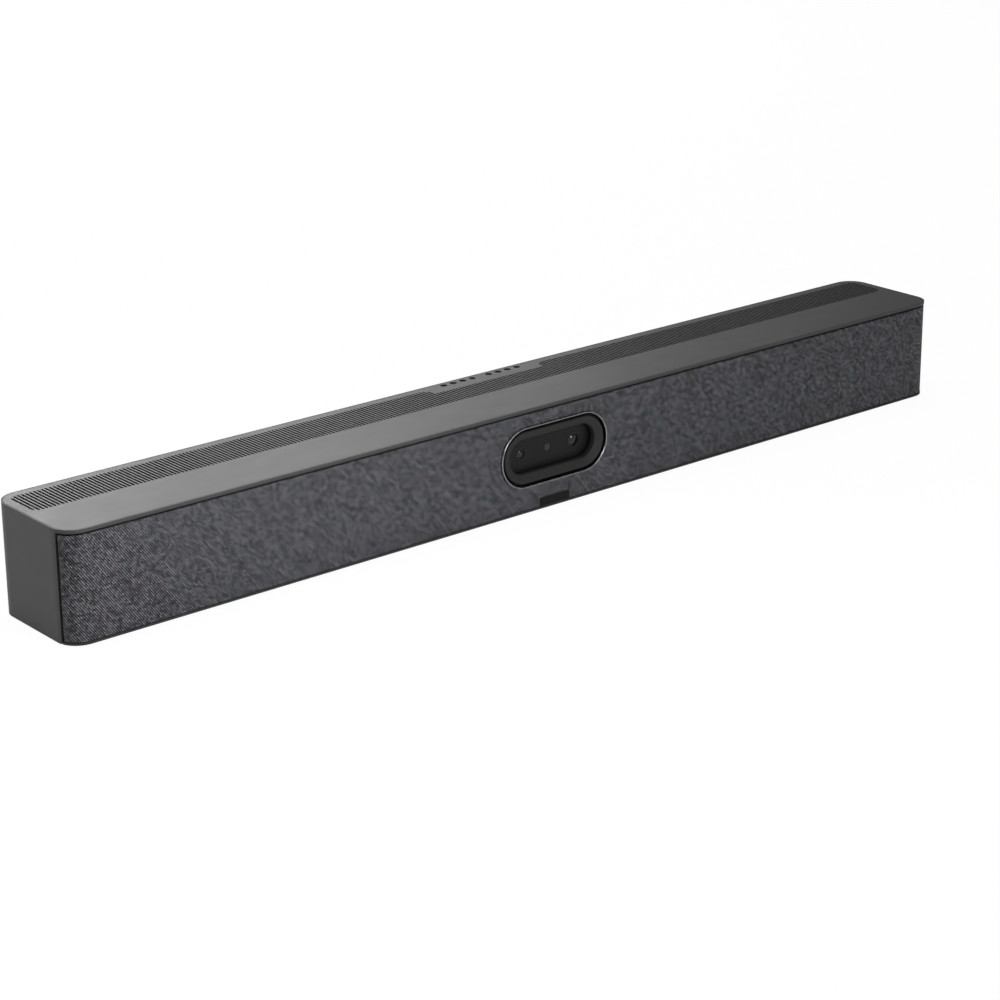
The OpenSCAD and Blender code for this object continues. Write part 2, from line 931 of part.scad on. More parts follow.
module camera_bracket() {
    rail_x = shutter_half + slide_gap;
    right_rail_x = rack_pitch_x + tip_share*gear_module + 2*slide_gap;
    color("#8a8d90")
        difference() {
            union() {
                slab(panel_back, bracket_back)
                    translate([0, (bracket_low + bracket_high)/2])
                        rounded(2*bracket_half, bracket_high - bracket_low, bracket_screw_in);
                for (place = camera_screw_places())
                    rod(place[0], place[1], baffle_back, panel_back + over/2, bracket_post_r);
                for (place = camera_posts())
                    rod(place[0], place[1], bracket_back - over/2, camera_board_in, camera_post_r);
                block(-rail_x - rail_w/2, baffle_back + running, window_up - shutter_h/2,
                    [rail_w, panel_back - baffle_back, bracket_high - window_up + shutter_h/2]);
                block(right_rail_x + rail_w/2, baffle_back + running, pinion_up + pitch_r + 2*rail_w,
                    [rail_w, panel_back - baffle_back, bracket_high - pinion_up - pitch_r - 2*rail_w]);
            }
            slab(panel_back - over, bracket_back + over)
                eye_holes(barrel_gap);
            rod(pinion_x, pinion_up, panel_back - over, bracket_back + over, pinion_shaft_r + 2*fit);
            for (place = camera_screw_places())
                rod(place[0], place[1], baffle_back - over, bracket_back + over, screw_r + fit);
        }
}

module camera_board() {
    color("#1f4a2c")
        difference() {
            union() {
                slab(camera_board_in, camera_board_in + board_t)
                    translate([0, camera_board_low + camera_board_h/2])
                        rounded(2*camera_board_half, camera_board_h, camera_post_r);
                block(0, camera_board_in + board_t - over/2, camera_board_low + camera_board_h/2,
                    [socket_w, chip_t + over/2, socket_w]);
            }
            for (place = camera_posts())
                rod(place[0], place[1], camera_board_in + board_t - small_screw_len/4,
                    camera_board_in + board_t + over, small_screw_r);
        }
}

// Flat cable from the camera board down to the main board
module camera_flex() {
    depth = camera_board_in + board_t;
    color("#b5651d")
        union() {
            block(0, depth, board_high, [ribbon_w, ribbon_t, camera_board_low - board_high + ribbon_w/2]);
            block(0, depth, board_high, [ribbon_w, ribbon_w/3, ribbon_t]);
        }
}

// The plate parks above the opening and slides down over the eyes
module shutter_plate() {
    color("#101010")
        union() {
            slab(shutter_in, shutter_back)
                union() {
                    translate([-shutter_half, shutter_low])
                        square([shutter_half + rack_x + rack_w, shutter_h]);
                    translate([rack_x, pinion_up - tooth_pitch*1.5])
                        square([rack_w, rack_high - pinion_up + tooth_pitch*1.5]);
                }
            slab(shutter_in, shutter_in + rack_t)
                rack_outline();
        }
}

function rack_teeth() = floor((rack_high - pinion_up)/tooth_pitch - root_share);

module rack_outline() {
    low = pinion_up - tooth_pitch*1.5;
    half = (tooth_pitch/2 - backlash)/2;
    tip = tip_share*gear_module;
    root = root_share*gear_module;
    union() {
        translate([rack_x, low])
            square([rack_w, rack_high - low]);
        for (i = [-1:rack_teeth()])
            translate([rack_pitch_x, pinion_up + i*tooth_pitch])
                polygon([
                    [-root - gear_module/4, -half - root*tan(pressure_angle)],
                    [-root, -half - root*tan(pressure_angle)],
                    [tip, -half + tip*tan(pressure_angle)],
                    [tip, half - tip*tan(pressure_angle)],
                    [-root, half + root*tan(pressure_angle)],
                    [-root - gear_module/4, half + root*tan(pressure_angle)]
                ]);
    }
}

// Angle between an involute's start and its point at radius r
function involute(r, base_r) = sqrt(pow(r/base_r, 2) - 1)*180/PI - atan(sqrt(pow(r/base_r, 2) - 1));

module pinion_outline() {
    base_r = pitch_r*cos(pressure_angle);
    tip_r = pitch_r + tip_share*gear_module;
    root_r = pitch_r - root_share*gear_module;
    half = (tooth_pitch/2 - backlash)/2/pitch_r*180/PI + involute(pitch_r, base_r);
    steps = 4;
    radii = [for (i = [0:steps]) base_r + (tip_r - base_r)*i/steps];
    points = [for (tooth = [0:pinion_teeth - 1], side = [-1, 1], i = [0:steps + 1])
        let (k = side < 0 ? i : steps + 1 - i,
             r = k == 0 ? root_r : radii[k - 1],
             turn = k == 0 ? half : half - involute(r, base_r),
             a = 180 + (tooth + 0.5)*360/pinion_teeth + side*turn)
            [r*cos(a), r*sin(a)]];
    polygon(points);
}

module shutter_pinion() {
    color("#d8d4c4")
        union() {
            slab(shutter_in + pinion_clear, shutter_in + pinion_clear + rack_t - fit)
                translate([pinion_x, pinion_up])
                    pinion_outline();
            rod(pinion_x, pinion_up, shutter_in + pinion_clear, shaft_end - running, pinion_shaft_r);
        }
}

module shutter_motor() {
    color("#9a9a98")
        difference() {
            union() {
                rod(pinion_x, pinion_up, bracket_back, bracket_back + gearbox_len, gearbox_r);
                rod(pinion_x, pinion_up, bracket_back + gearbox_len - over, bracket_back + gearbox_len + motor_len,
                    motor_r);
            }
            rod(pinion_x, pinion_up, bracket_back - over, shaft_end, pinion_shaft_r + running);
        }
}

// The strip under the microphone ports, from the back wall forward
module mic_strip() {
    translate([-mic_half, front_y + bar_d - mic_back - mic_strip_d/2])
        square([2*mic_half, mic_strip_d]);
}

module mic_gasket() {
    color("#2a2a2a")
        rise(bar_h - cover_t - gasket_t, bar_h - cover_t)
            difference() {
                mic_strip();
                mic_holes(mic_hole_r);
            }
}

module mic_board() {
    high = bar_h - cover_t - gasket_t;
    color("#1f4a2c")
        union() {
            rise(high - mic_board_t, high)
                mic_strip();
            for (x = mic_x())
                block(x, bar_d - mic_back - dish_r/2, high - 2*mic_board_t, [2*dish_r, dish_r, 1.5*mic_board_t]);
        }
}

// Flat cable from the microphones down to the main board
module mic_flex() {
    top = bar_h - cover_t - gasket_t - mic_board_t;
    x = hdmi_x + hdmi_pitch/2;
    depth = main_back - 2*ribbon_t;
    color("#b5651d")
        union() {
            block(x, depth - ribbon_w/2, board_high, [ribbon_w/4, ribbon_w/2 + ribbon_t, ribbon_t]);
            block(x, depth, board_high, [ribbon_w/4, ribbon_t, top - board_high]);
            block(x, depth, top - ribbon_t, [ribbon_w/4, bar_d - mic_back - dish_r/2 - fit - depth, ribbon_t]);
        }
}

// A bare board with mounting holes, as a slab lying flat
module flat_board(x_low, x_high, depth_low, depth_high) {
    difference() {
        translate([(x_low + x_high)/2, front_y + (depth_low + depth_high)/2])
            rise(board_up, board_high)
                rounded(x_high - x_low, depth_high - depth_low, post_r/2);
        for (place = board_posts())
            post(place[0], place[1], board_up - over, board_high + over, screw_r + fit);
    }
}

module main_board() {
    color("#1f4a2c")
        union() {
            flat_board(-main_half, main_half, main_in, main_back);
            block(0, chip_depth - chip_w/2, board_up, [chip_w, chip_w, board_t + chip_t]);
            for (side = [-1, 1])
                block(side*(main_half + sink_w/2)/2, chip_depth - socket_w, board_up,
                    [2*socket_w, 2*socket_w, board_t + can_t]);
            block(button_x, bay_floor - tray_t - button_collar_t - button_travel - switch_gap - switch_d, board_up,
                [switch_w, switch_d, board_t + switch_h]);
        }
}

module heat_sink() {
    low = board_high + chip_t;
    step = (sink_w - fin_t)/(sink_fins - 1);
    color("#9fa3a6")
        union() {
            block(0, chip_depth - sink_d/2, low, [sink_w, sink_d, sink_base_t]);
            for (i = [0:sink_fins - 1])
                block(-sink_w/2 + fin_t/2 + i*step, chip_depth - sink_d/2, low, [fin_t, sink_d, sink_h]);
        }
}

module power_board() {
    mid = -side_board_x - side_board_w/2;
    far = side_board_in + side_board_d;
    color("#1f4a2c")
        union() {
            flat_board(-side_board_x - side_board_w, -side_board_x, side_board_in, far);
            block(mid, side_board_in + post_in + post_r, board_up,
                [coil_block_w, coil_block_w, board_t + coil_block_h]);
            for (i = [-1, 1])
                post(mid + i*(capacitor_r + fit), far - 3*capacitor_r, board_up, board_high + capacitor_h,
                    capacitor_r);
            lead_socket(-1);
        }
}

module audio_board() {
    mid = side_board_x + side_board_w/2;
    far = side_board_in + side_board_d;
    color("#1f4a2c")
        union() {
            flat_board(side_board_x, side_board_x + side_board_w, side_board_in, far);
            block(mid, side_board_in + post_in + post_r, board_up, [coil_block_w/2, coil_block_w/2, board_t + chip_t]);
            for (i = [-1, 1])
                block(mid + i*(capacitor_r + fit), far - 4*capacitor_r, board_up,
                    [2*capacitor_r, 2*capacitor_r, board_t + coil_block_h/3]);
            lead_socket(1);
        }
}

// Socket on a side board in which a loudspeaker's lead ends
module lead_socket(side) {
    block(side*(core_half - lead_run - lead_bend), lead_depth - socket_d/2, board_up,
        [socket_d, socket_d, board_t + socket_h]);
}

// Flat cables that bridge the main board and the side boards
module board_links() {
    reach = side_board_x - main_half;
    color("#c9c4b4")
        for (side = [-1, 1])
            block(side*(main_half + reach/2), chip_depth - link_w, board_high, [reach + ribbon_w/2, link_w, ribbon_t]);
}

module wifi_antennas() {
    color("#caa14a")
        for (side = [-1, 1])
            block(side*antenna_x, bar_d - wall_t - antenna_t, antenna_low, [antenna_w, antenna_t, antenna_h]);
}

// Outer size of every socket in the port panel: place, width, height
function port_windows() = concat(
    [[jack_x, jack_w, jack_h], [audio_x, audio_w, audio_h], [ethernet_x, ethernet_w, ethernet_h]],
    [for (i = [0, 1]) [hdmi_x + i*hdmi_pitch, hdmi_w, hdmi_h]],
    [for (i = [0, 1]) [usb_x + i*usb_pitch, usb_w, usb_h]]
);
function tray_screw_places() = [for (side = [-1, 1],
        up = [bay_up - (flange_w + tray_t)/2, bay_up + bay_h + (flange_w + tray_t)/2])
    [side*tray_screw_x, up]];

module port_panel() {
    wall_in = bar_d - wall_t;
    color("#303030")
        difference() {
            union() {
                block(0, bay_floor - tray_t, bay_up - tray_t,
                    [bay_w + 2*tray_t, wall_in - bay_floor + tray_t, bay_h + 2*tray_t]);
                block(0, wall_in - tray_t, bay_up - flange_w, [bay_w + 2*flange_w, tray_t, bay_h + 2*flange_w]);
            }
            block(0, bay_floor, bay_up, [bay_w, bay_depth, bay_h]);
            for (port = port_windows())
                block(port[0], bay_floor - tray_t - over, board_high - port_gap,
                    [port[1] + 2*port_gap, tray_t + 2*over, port[2] + 2*port_gap]);
            rod(button_x, board_high + button_rise, bay_floor - tray_t - over, bay_floor + over, button_r + running);
            for (place = tray_screw_places())
                rod(place[0], place[1], wall_in - tray_t - over, wall_in + over, small_screw_r + screw_gap);
        }
}

// Body of a socket that stands on the main board and reaches through the port panel
module port_body(x, w, h, len) {
    block(x, bay_floor + port_proud - len, board_high, [w, len, h]);
}

module power_jack() {
    up = board_high + jack_h/2;
    color("#141414")
        union() {
            difference() {
                port_body(jack_x, jack_w, jack_h, jack_len);
                rod(jack_x, up, bay_floor + port_proud - jack_len + 2*tongue_t, bay_floor + over, jack_hole_r);
            }
            rod(jack_x, up, bay_floor + port_proud - jack_len + tongue_t, bay_floor - tongue_t, jack_pin_r);
        }
}

module ethernet_jack() {
    mouth = bay_floor + port_proud;
    up = board_high + (ethernet_h - ethernet_hole_h)/2;
    color("#b0b0ac")
        difference() {
            port_body(ethernet_x, ethernet_w, ethernet_h, ethernet_len);
            block(ethernet_x, mouth - ethernet_hole_d, up, [ethernet_hole_w, ethernet_hole_d + over, ethernet_hole_h]);
            block(ethernet_x, mouth - ethernet_hole_d, up - ethernet_key_h,
                [ethernet_key_w, ethernet_hole_d + over, ethernet_hole_h]);
        }
}

// A metal shell with a tongue inside, for the flat sockets
module shell_port(x, w, h, len, tongue_up) {
    mouth = bay_floor + port_proud;
    union() {
        difference() {
            port_body(x, w, h, len);
            block(x, mouth - len + tongue_in, board_high + shell_t,
                [w - 2*shell_t, len + over, h - 2*shell_t]);
        }
        block(x, mouth - len + tongue_in/2, board_high + tongue_up, [w - 4*tongue_t, len - tongue_in, tongue_t]);
    }
}

module hdmi_ports() {
    color("#b0b0ac")
        for (i = [0, 1])
            shell_port(hdmi_x + i*hdmi_pitch, hdmi_w, hdmi_h, hdmi_len, (hdmi_h - tongue_t)/2);
}

module usb_ports() {
    color("#b0b0ac")
        for (i = [0, 1])
            shell_port(usb_x + i*usb_pitch, usb_w, usb_h, usb_len, usb_h - 2*tongue_t);
}

module audio_jack() {
    up = board_high + audio_h/2;
    color("#141414")
        difference() {
            port_body(audio_x, audio_w, audio_h, audio_len);
            rod(audio_x, up, bay_floor + port_proud - audio_len + tongue_t, bay_floor + over, audio_hole_r);
        }
}

module reset_button() {
    inside = bay_floor - tray_t;
    up = board_high + button_rise;
    color("#404040")
        union() {
            rod(button_x, up, inside - button_collar_t, bay_floor - button_sink, button_r);
            rod(button_x, up, inside - button_collar_t, inside - running, button_collar_r);
        }
}

function box_screw_places() = [for (side = [-1, 1], end = [-1, 1], up = [box_low + ear_gap + ear_h/2, box_low + box_h - ear_gap - ear_h/2])
    [side*driver_x + end*(box_w/2 + ear_w/2), up]];
function driver_screw_places() = [for (side = [-1, 1], end = [-1, 1], rise = [-1, 1])
    [side*driver_x + end*(driver_w/2 - driver_screw_in), driver_up + rise*(driver_w/2 - driver_screw_in)]];

module speaker_box(side) {
    color("#181818")
        difference() {
            union() {
                block(side*driver_x, baffle_back, box_low, [box_w, box_d, box_h]);
                for (place = box_screw_places())
                    if (place[0]*side > 0)
                        block(place[0], baffle_back, place[1] - ear_h/2, [ear_w + over, box_front, ear_h]);
            }
            block(side*driver_x, baffle_back + box_front, box_low + box_wall,
                [box_w - 2*box_wall, box_d - box_front - box_wall, box_h - 2*box_wall]);
            rod(side*driver_x, driver_up, baffle_back - over, baffle_back + box_front + over, basket_r + fit);
            for (place = driver_screw_places())
                rod(place[0], place[1], baffle_back - over, baffle_back + box_front + over, screw_r + screw_gap);
            for (place = box_screw_places())
                rod(place[0], place[1], baffle_back - over, baffle_back + box_front + over, screw_r + fit);
        }
}

// A profile of radius and depth turned about a driver's axis
module turned(side, points) {
    translate([side*driver_x, front_y, base_z + driver_up])
        rotate([90, 0, 0])
            rotate_extrude()
                polygon(points);
}

module basket(side) {
    throat = baffle_back + box_front;
    neck = baffle_back + basket_len;
    color("#2c2c2c")
        difference() {
            union() {
                slab(basket_in, baffle_back)
                    translate([side*driver_x, driver_up])
                        rounded(driver_w, driver_w, driver_r);
                turned(side, [
                    [basket_r - basket_wall, -basket_in],
                    [basket_r, -basket_in],
                    [basket_r, -throat],
                    [basket_neck_r + basket_wall, -neck],
                    [coil_r + coil_gap, -neck],
                    [coil_r + coil_gap, basket_wall - neck],
                    [basket_neck_r, basket_wall - neck],
                    [basket_r - basket_wall, -throat]
                ]);
            }
            rod(side*driver_x, driver_up, basket_in - over, baffle_back, land_r);
            for (i = [0:basket_windows - 1])
                translate([side*driver_x, front_y + throat, base_z + driver_up])
                    rotate([0, i*360/basket_windows, 0])
                        translate([basket_neck_r + basket_wall + fit, 0, -basket_window_w/2])
                            cube([basket_r, basket_len - box_front - 2*basket_wall, basket_window_w]);
            for (place = driver_screw_places()) {
                rod(place[0], place[1], basket_in - over, baffle_back + over, screw_r + fit);
                rod(place[0], place[1], basket_in - over, basket_in + screw_head_h, screw_head_r + fit);
            }
        }
}

module magnet(side) {
    neck = baffle_back + basket_len;
    gap_in = coil_r - coil_t - coil_gap;
    gap_out = coil_r + coil_gap;
    gap_end = neck + coil_reach + cone_stroke + coil_gap;
    color("#6a6a6a")
        turned(side, [
            [0, -neck],
            [gap_in, -neck],
            [gap_in, -gap_end],
            [gap_out, -gap_end],
            [gap_out, -neck],
            [magnet_r, -neck],
            [magnet_r, -neck - magnet_len],
            [0, -neck - magnet_len]
        ]);
}

module cone(side) {
    neck = baffle_back + basket_len;
    coil_in = cone_in + cone_len;
    color("#1a1a1a")
        turned(side, [
            [0, -coil_in + cap_len],
            [coil_r/2, -coil_in + cap_len*0.85],
            [coil_r, -coil_in + cone_t],
            [cone_r, -cone_in],
            [cone_r, -cone_in - cone_t],
            [coil_r, -coil_in],
            [coil_r, -neck - coil_reach],
            [coil_r - coil_t, -neck - coil_reach],
            [coil_r - coil_t, -coil_in],
            [coil_r/2, -coil_in + cap_len*0.85 - cone_t],
            [0, -coil_in + cap_len - cone_t]
        ]);
}

// The rubber half roll between cone and basket
module surround(side) {
    inner = cone_r + surround_gap;
    r = surround_w/2;
    steps = 8;
    mid = inner + r;
    color("#0e0e0e")
        turned(side, concat(
            [for (i = [0:steps]) [mid + r*cos(180*i/steps), -baffle_back + r*sin(180*i/steps)]],
            [for (i = [steps:-1:0])
                [mid + (r - surround_t)*cos(180*i/steps), -baffle_back + (r - surround_t)*sin(180*i/steps)]]
        ));
}

// A lead out of a loudspeaker box, round a bend and down to its socket
module speaker_leads() {
    socket_up = board_high + socket_h;
    color("#902020")
        for (side = [-1, 1])
            translate([side*(core_half - lead_run), front_y + lead_depth, base_z + lead_up])
                mirror([side > 0 ? 0 : 1, 0, 0])
                    union() {
                        rotate([0, 90, 0])
                            cylinder(h = lead_run, r = lead_r);
                        translate([0, 0, -lead_bend])
                            rotate([90, 0, 0])
                                rotate_extrude(angle = 90, start = 90)
                                    translate([lead_bend, 0])
                                        circle(lead_r);
                        translate([-lead_bend, 0, -lead_up + socket_up])
                            cylinder(h = lead_up - lead_bend - socket_up, r = lead_r);
                    }
}

module bracket_inserts() {
    color("#b08d45")
        for (place = insert_places())
            difference() {
                rod(place[0], place[1], bar_d - insert_len, bar_d, insert_r + insert_wall);
                rod(place[0], place[1], bar_d - insert_len - over, bar_d + over, insert_r);
            }
}

module rubber_feet() {
    color("#111111")
        for (place = foot_places())
            translate([place[0], front_y + place[1]])
                rise(-foot_proud, foot_sink)
                    rounded(foot_w - 2*running, foot_d - 2*running, foot_d/2 - 2*running);
}

module bottom_screws() {
    color("#8c8c8c")
        for (place = bottom_screw_places())
            translate([place[0], front_y + place[1], base_z])
                screw(screw_r, screw_head_r, screw_head_h, screw_len);
}

module baffle_screws() {
    color("#8c8c8c")
        for (place = baffle_screw_places())
            baffle_screw_axis(place)
                screw(screw_r, screw_head_r, screw_head_h, baffle_t + over);
}

// Screws along the depth of the bar, heads to the back or to the front
module depth_screw(place, head_face, way, length) {
    translate([place[0], front_y + head_face, base_z + place[1]])
        rotate([way*90, 0, 0])
            screw(screw_r, screw_head_r, screw_head_h, length);
}

module camera_screws() {
    color("#8c8c8c")
        for (place = camera_screw_places())
            depth_screw(place, bracket_back + screw_head_h, 1, bracket_back - baffle_in - over);
}

module speaker_box_screws() {
    color("#8c8c8c")
        for (place = box_screw_places())
            depth_screw(place, baffle_back + box_front + screw_head_h, 1, box_front + baffle_t - over);
}

module driver_screws() {
    color("#8c8c8c")
        for (place = driver_screw_places())
            depth_screw(place, basket_in, -1, basket_t_left() + box_front - fit);
}

function basket_t_left() = baffle_back - basket_in - screw_head_h;

module board_screws() {
    color("#8c8c8c")
        for (place = board_posts())
            translate([place[0], front_y + place[1], base_z + board_high + screw_head_h])
                rotate([180, 0, 0])
                    screw(screw_r, screw_head_r, screw_head_h, board_t + screw_len/2);
}

module port_panel_screws() {
    color("#8c8c8c")
        for (place = tray_screw_places())
            translate([place[0], front_y + bar_d - wall_t - tray_t - small_head_h, base_z + place[1]])
                rotate([-90, 0, 0])
                    screw(small_screw_r, small_head_r, small_head_h, small_screw_len);
}

housing();
top_cover();
bottom_plate();
front_baffle();
grille_frame();
grille_cloth();
name_tab();
trim_ring();
window_bezel();
lens_panel();
color("#181818") lens_barrel(-eye_pitch, wide_r, wide_body_r);  // wide_lens
color("#30343c") lens_glass(-eye_pitch, wide_r);  // wide_glass
color("#181818") lens_barrel(eye_pitch, tele_r, tele_body_r);  // tele_lens
color("#30343c") lens_glass(eye_pitch, tele_r);  // tele_glass
light_sensor();
image_boards();
camera_bracket();
camera_board();
camera_flex();
shutter_plate();
shutter_pinion();
shutter_motor();
mic_gasket();
mic_board();
mic_flex();
main_board();
heat_sink();
power_board();
audio_board();
board_links();
wifi_antennas();
port_panel();
power_jack();
ethernet_jack();
hdmi_ports();
usb_ports();
audio_jack();
reset_button();
speaker_box(-1);  // left_speaker_box
speaker_box(1);  // right_speaker_box
basket(-1);  // left_basket
basket(1);  // right_basket
magnet(-1);  // left_magnet
magnet(1);  // right_magnet
cone(-1);  // left_cone
cone(1);  // right_cone
surround(-1);  // left_surround
surround(1);  // right_surround
speaker_leads();
bracket_inserts();
rubber_feet();
bottom_screws();
baffle_screws();
camera_screws();
board_screws();
driver_screws();
speaker_box_screws();
port_panel_screws();
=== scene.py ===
"""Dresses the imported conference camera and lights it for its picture.

All sizes are in metres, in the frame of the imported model: X runs along the bar, the cloth
faces -Y and Z is up. The origin lies under the middle of the bar, on the floor.
"""
import logging
import math
from dataclasses import dataclass
from enum import Enum
from functools import cache
from typing import Callable, ClassVar, Iterable, Optional, Sequence, Union

import bmesh
import bpy
from mathutils import Matrix, Vector


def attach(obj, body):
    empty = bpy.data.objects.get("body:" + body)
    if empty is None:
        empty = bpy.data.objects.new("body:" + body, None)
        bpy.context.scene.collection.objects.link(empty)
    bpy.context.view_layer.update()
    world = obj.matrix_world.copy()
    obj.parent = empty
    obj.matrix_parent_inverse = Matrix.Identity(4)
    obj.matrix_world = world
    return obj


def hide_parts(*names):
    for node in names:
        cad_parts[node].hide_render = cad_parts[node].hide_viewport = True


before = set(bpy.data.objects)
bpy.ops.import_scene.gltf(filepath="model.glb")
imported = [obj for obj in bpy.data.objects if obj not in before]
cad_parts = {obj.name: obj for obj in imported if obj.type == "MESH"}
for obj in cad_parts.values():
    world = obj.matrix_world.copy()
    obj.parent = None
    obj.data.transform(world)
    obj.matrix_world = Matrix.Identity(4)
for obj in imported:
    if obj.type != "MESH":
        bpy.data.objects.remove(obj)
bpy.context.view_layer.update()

LOG = logging.getLogger("conference_camera")
BODY = "frame"
MM = 0.001
QUARTER = math.radians(90)

FRONT = -42.5 * MM
UNDERSIDE = 1.0 * MM
TOP = UNDERSIDE + 75.5 * MM
MAIN_BOARD = UNDERSIDE + 12.0 * MM
WINDOW_UP = UNDERSIDE + 40.6 * MM
WINDOW_CORE = 26.6 * MM
EYE_PITCH = 24.3 * MM

Colour = tuple[float, float, float]
Point = tuple[float, float, float]
Socket = bpy.types.NodeSocket
Feed = Union[Socket, float, Sequence[float]]
Look = dict[str, Feed]


def grey(level: float, blue: float = 0.0) -> Colour:
    """Gives a grey, with a little more or less blue in it."""
    return level, level, level + blue


def toned(colour: Colour, factor: float, lift: float = 0.0) -> Colour:
    """Makes a colour lighter or darker, up to full brightness."""
    return tuple(min(1.0, value * factor + lift) for value in colour)


class Wiring:
    """Short calls that make the nodes of one tree and join them."""

    NOISE_RANGE: ClassVar[tuple[float, float]] = (0.3, 0.7)
    MIX_INPUTS: ClassVar[tuple[int, int, int]] = (0, 6, 7)
    MIX_OUTPUT: ClassVar[int] = 2

    def __init__(self, tree: bpy.types.NodeTree) -> None:
        """Starts on the node tree of a material, a group or a world."""
        self.tree = tree

    def node(self, kind: str, **settings: object) -> bpy.types.Node:
        """Adds a node.

        Args:
            kind: the node's type name, such as "ShaderNodeMath".
            settings: attributes to set on it.

        Returns:
            The new node.
        """
        made = self.tree.nodes.new(kind)
        for name, value in settings.items():
            setattr(made, name, value)
        return made

    def feed(self, into: Socket, source: Feed) -> None:
        """Gives an input its link or its value.

        Args:
            into: the input socket.
            source: an output socket, a number, or a list of numbers.
        """
        if isinstance(source, bpy.types.NodeSocket):
            self.tree.links.new(source, into)
        elif isinstance(source, (int, float)):
            wide = hasattr(into.default_value, "__len__")
            into.default_value = [source] * len(into.default_value) if wide else source
        else:
            values = list(source)
            into.default_value = values + [1.0] * (len(into.default_value) - len(values))

    def fed(self, kind: str, feeds: Sequence[Feed], **settings: object) -> bpy.types.Node:
        """Adds a node and feeds its inputs in order.

        Args:
            kind: the node's type name.
            feeds: what goes into its inputs.
            settings: attributes to set on it.

        Returns:
            The new node.
        """
        made = self.node(kind, **settings)
        for into, source in zip(made.inputs, feeds):
            self.feed(into, source)
        return made

    def sum(self, operation: str, *feeds: Feed, clamp: bool = False) -> Socket:
        """Works out a value; clamp holds it between 0 and 1."""
        return self.fed("ShaderNodeMath", feeds, operation=operation, use_clamp=clamp).outputs[0]

    def times(self, one: Feed, other: Feed) -> Socket:
        """Multiplies two values."""
        return self.sum("MULTIPLY", one, other)

    def plus(self, one: Feed, other: Feed) -> Socket:
        """Adds two values."""
        return self.sum("ADD", one, other)

    def minus(self, one: Feed, other: Feed) -> Socket:
        """Takes the second value from the first."""
        return self.sum("SUBTRACT", one, other)

    def above(self, value: Feed, limit: float) -> Socket:
        """Gives 1 where a value is above a limit."""
        return self.sum("GREATER_THAN", value, limit)

    def below(self, value: Feed, limit: float) -> Socket:
        """Gives 1 where a value is below a limit."""
        return self.sum("LESS_THAN", value, limit)

    def weigh(self, *parts: tuple[Feed, float]) -> Socket:
        """Adds values up by weight.

        Args:
            parts: pairs of a value and its weight.

        Returns:
            The weighted sum.
        """
        total, *rest = [self.times(value, weight) for value, weight in parts]
        for part in rest:
            total = self.plus(total, part)
        return total

    def wave(self, source: Feed, pitch: float) -> Socket:
        """Gives a wave from -1 to 1 that repeats at each pitch of a value."""
        return self.sum("SINE", self.times(source, 2.0 * math.pi / pitch))

    def vector(self, operation: str, *feeds: Feed) -> Socket:
        """Works out a vector, or the value of a dot product or a length."""
        made = self.fed("ShaderNodeVectorMath", feeds, operation=operation)
        return made.outputs["Value" if operation in ("DOT_PRODUCT", "LENGTH") else "Vector"]

    def mix(self, factor: Feed, low: Feed, high: Feed, blend: str = "MIX") -> Socket:
        """Mixes two colours.

        Args:
            factor: how much of the second shows.
            low: the first colour.
            high: the second colour.
            blend: the blend type.

        Returns:
            The mixed colour.
        """
        made = self.node("ShaderNodeMix", data_type="RGBA", blend_type=blend)
        for place, source in zip(self.MIX_INPUTS, (factor, low, high)):
            self.feed(made.inputs[place], source)
        return made.outputs[self.MIX_OUTPUT]

    def span(self, source: Feed, low: float, high: float,
             start: float = 0.0, end: float = 1.0) -> Socket:
        """Maps a value from one range to another.

        Args:
            source: the value.
            low: where the new range starts.
            high: where the new range ends.
            start: where the old range starts.
            end: where the old range ends.

        Returns:
            The mapped value.
        """
        made = self.node("ShaderNodeMapRange")
        self.feed(made.inputs["Value"], source)
        ends = {"From Min": start, "From Max": end, "To Min": low, "To Max": high}
        for name, value in ends.items():
            made.inputs[name].default_value = value
        return made.outputs["Result"]

    def spread(self, noise: Feed, low: float, high: float) -> Socket:
        """Maps the range in which most of a noise lies to another."""
        return self.span(noise, low, high, *self.NOISE_RANGE)

    def ramp(self, source: Feed, stops: Sequence[tuple[float, Colour]]) -> Socket:
        """Turns a value into a colour.

        Args:
            source: the value from 0 to 1.
            stops: pairs of place and colour.

        Returns:
            The colour.
        """
        made = self.fed("ShaderNodeValToRGB", [source])
        scale = made.color_ramp
        while len(scale.elements) < len(stops):
            scale.elements.new(1.0)
        for element, (place, colour) in zip(scale.elements, stops):
            element.position = place
            element.color = (*colour, 1.0)
        return made.outputs[0]

    def noise(self, place: Feed, scale: Feed, detail: float) -> Socket:
        """Adds smooth noise from 0 to 1.

        Args:
            place: the coordinates.
            scale: waves per metre.
            detail: how many finer layers lie on it.

        Returns:
            The noise.
        """
        made = self.node("ShaderNodeTexNoise")
        for name, source in {"Vector": place, "Scale": scale, "Detail": detail}.items():
            self.feed(made.inputs[name], source)
        return made.outputs[0]

    def chance(self, x: Feed, y: Feed) -> Socket:
        """Gives a random value from 0 to 1 for each pair of values."""
        made = self.fed("ShaderNodeTexWhiteNoise", [self.join(x, y)], noise_dimensions="2D")
        return made.outputs["Value"]

    def join(self, x: Feed, y: Feed, z: Feed = 0.0) -> Socket:
        """Makes a vector of three values."""
        return self.fed("ShaderNodeCombineXYZ", (x, y, z)).outputs[0]

    def split(self, vector: Feed) -> tuple[Socket, Socket, Socket]:
        """Takes a vector apart into its three values."""
        return tuple(self.fed("ShaderNodeSeparateXYZ", [vector]).outputs)

    def place(self) -> Socket:
        """Gives the piece's own Object coordinates."""
        return self.node("ShaderNodeTexCoord").outputs["Object"]

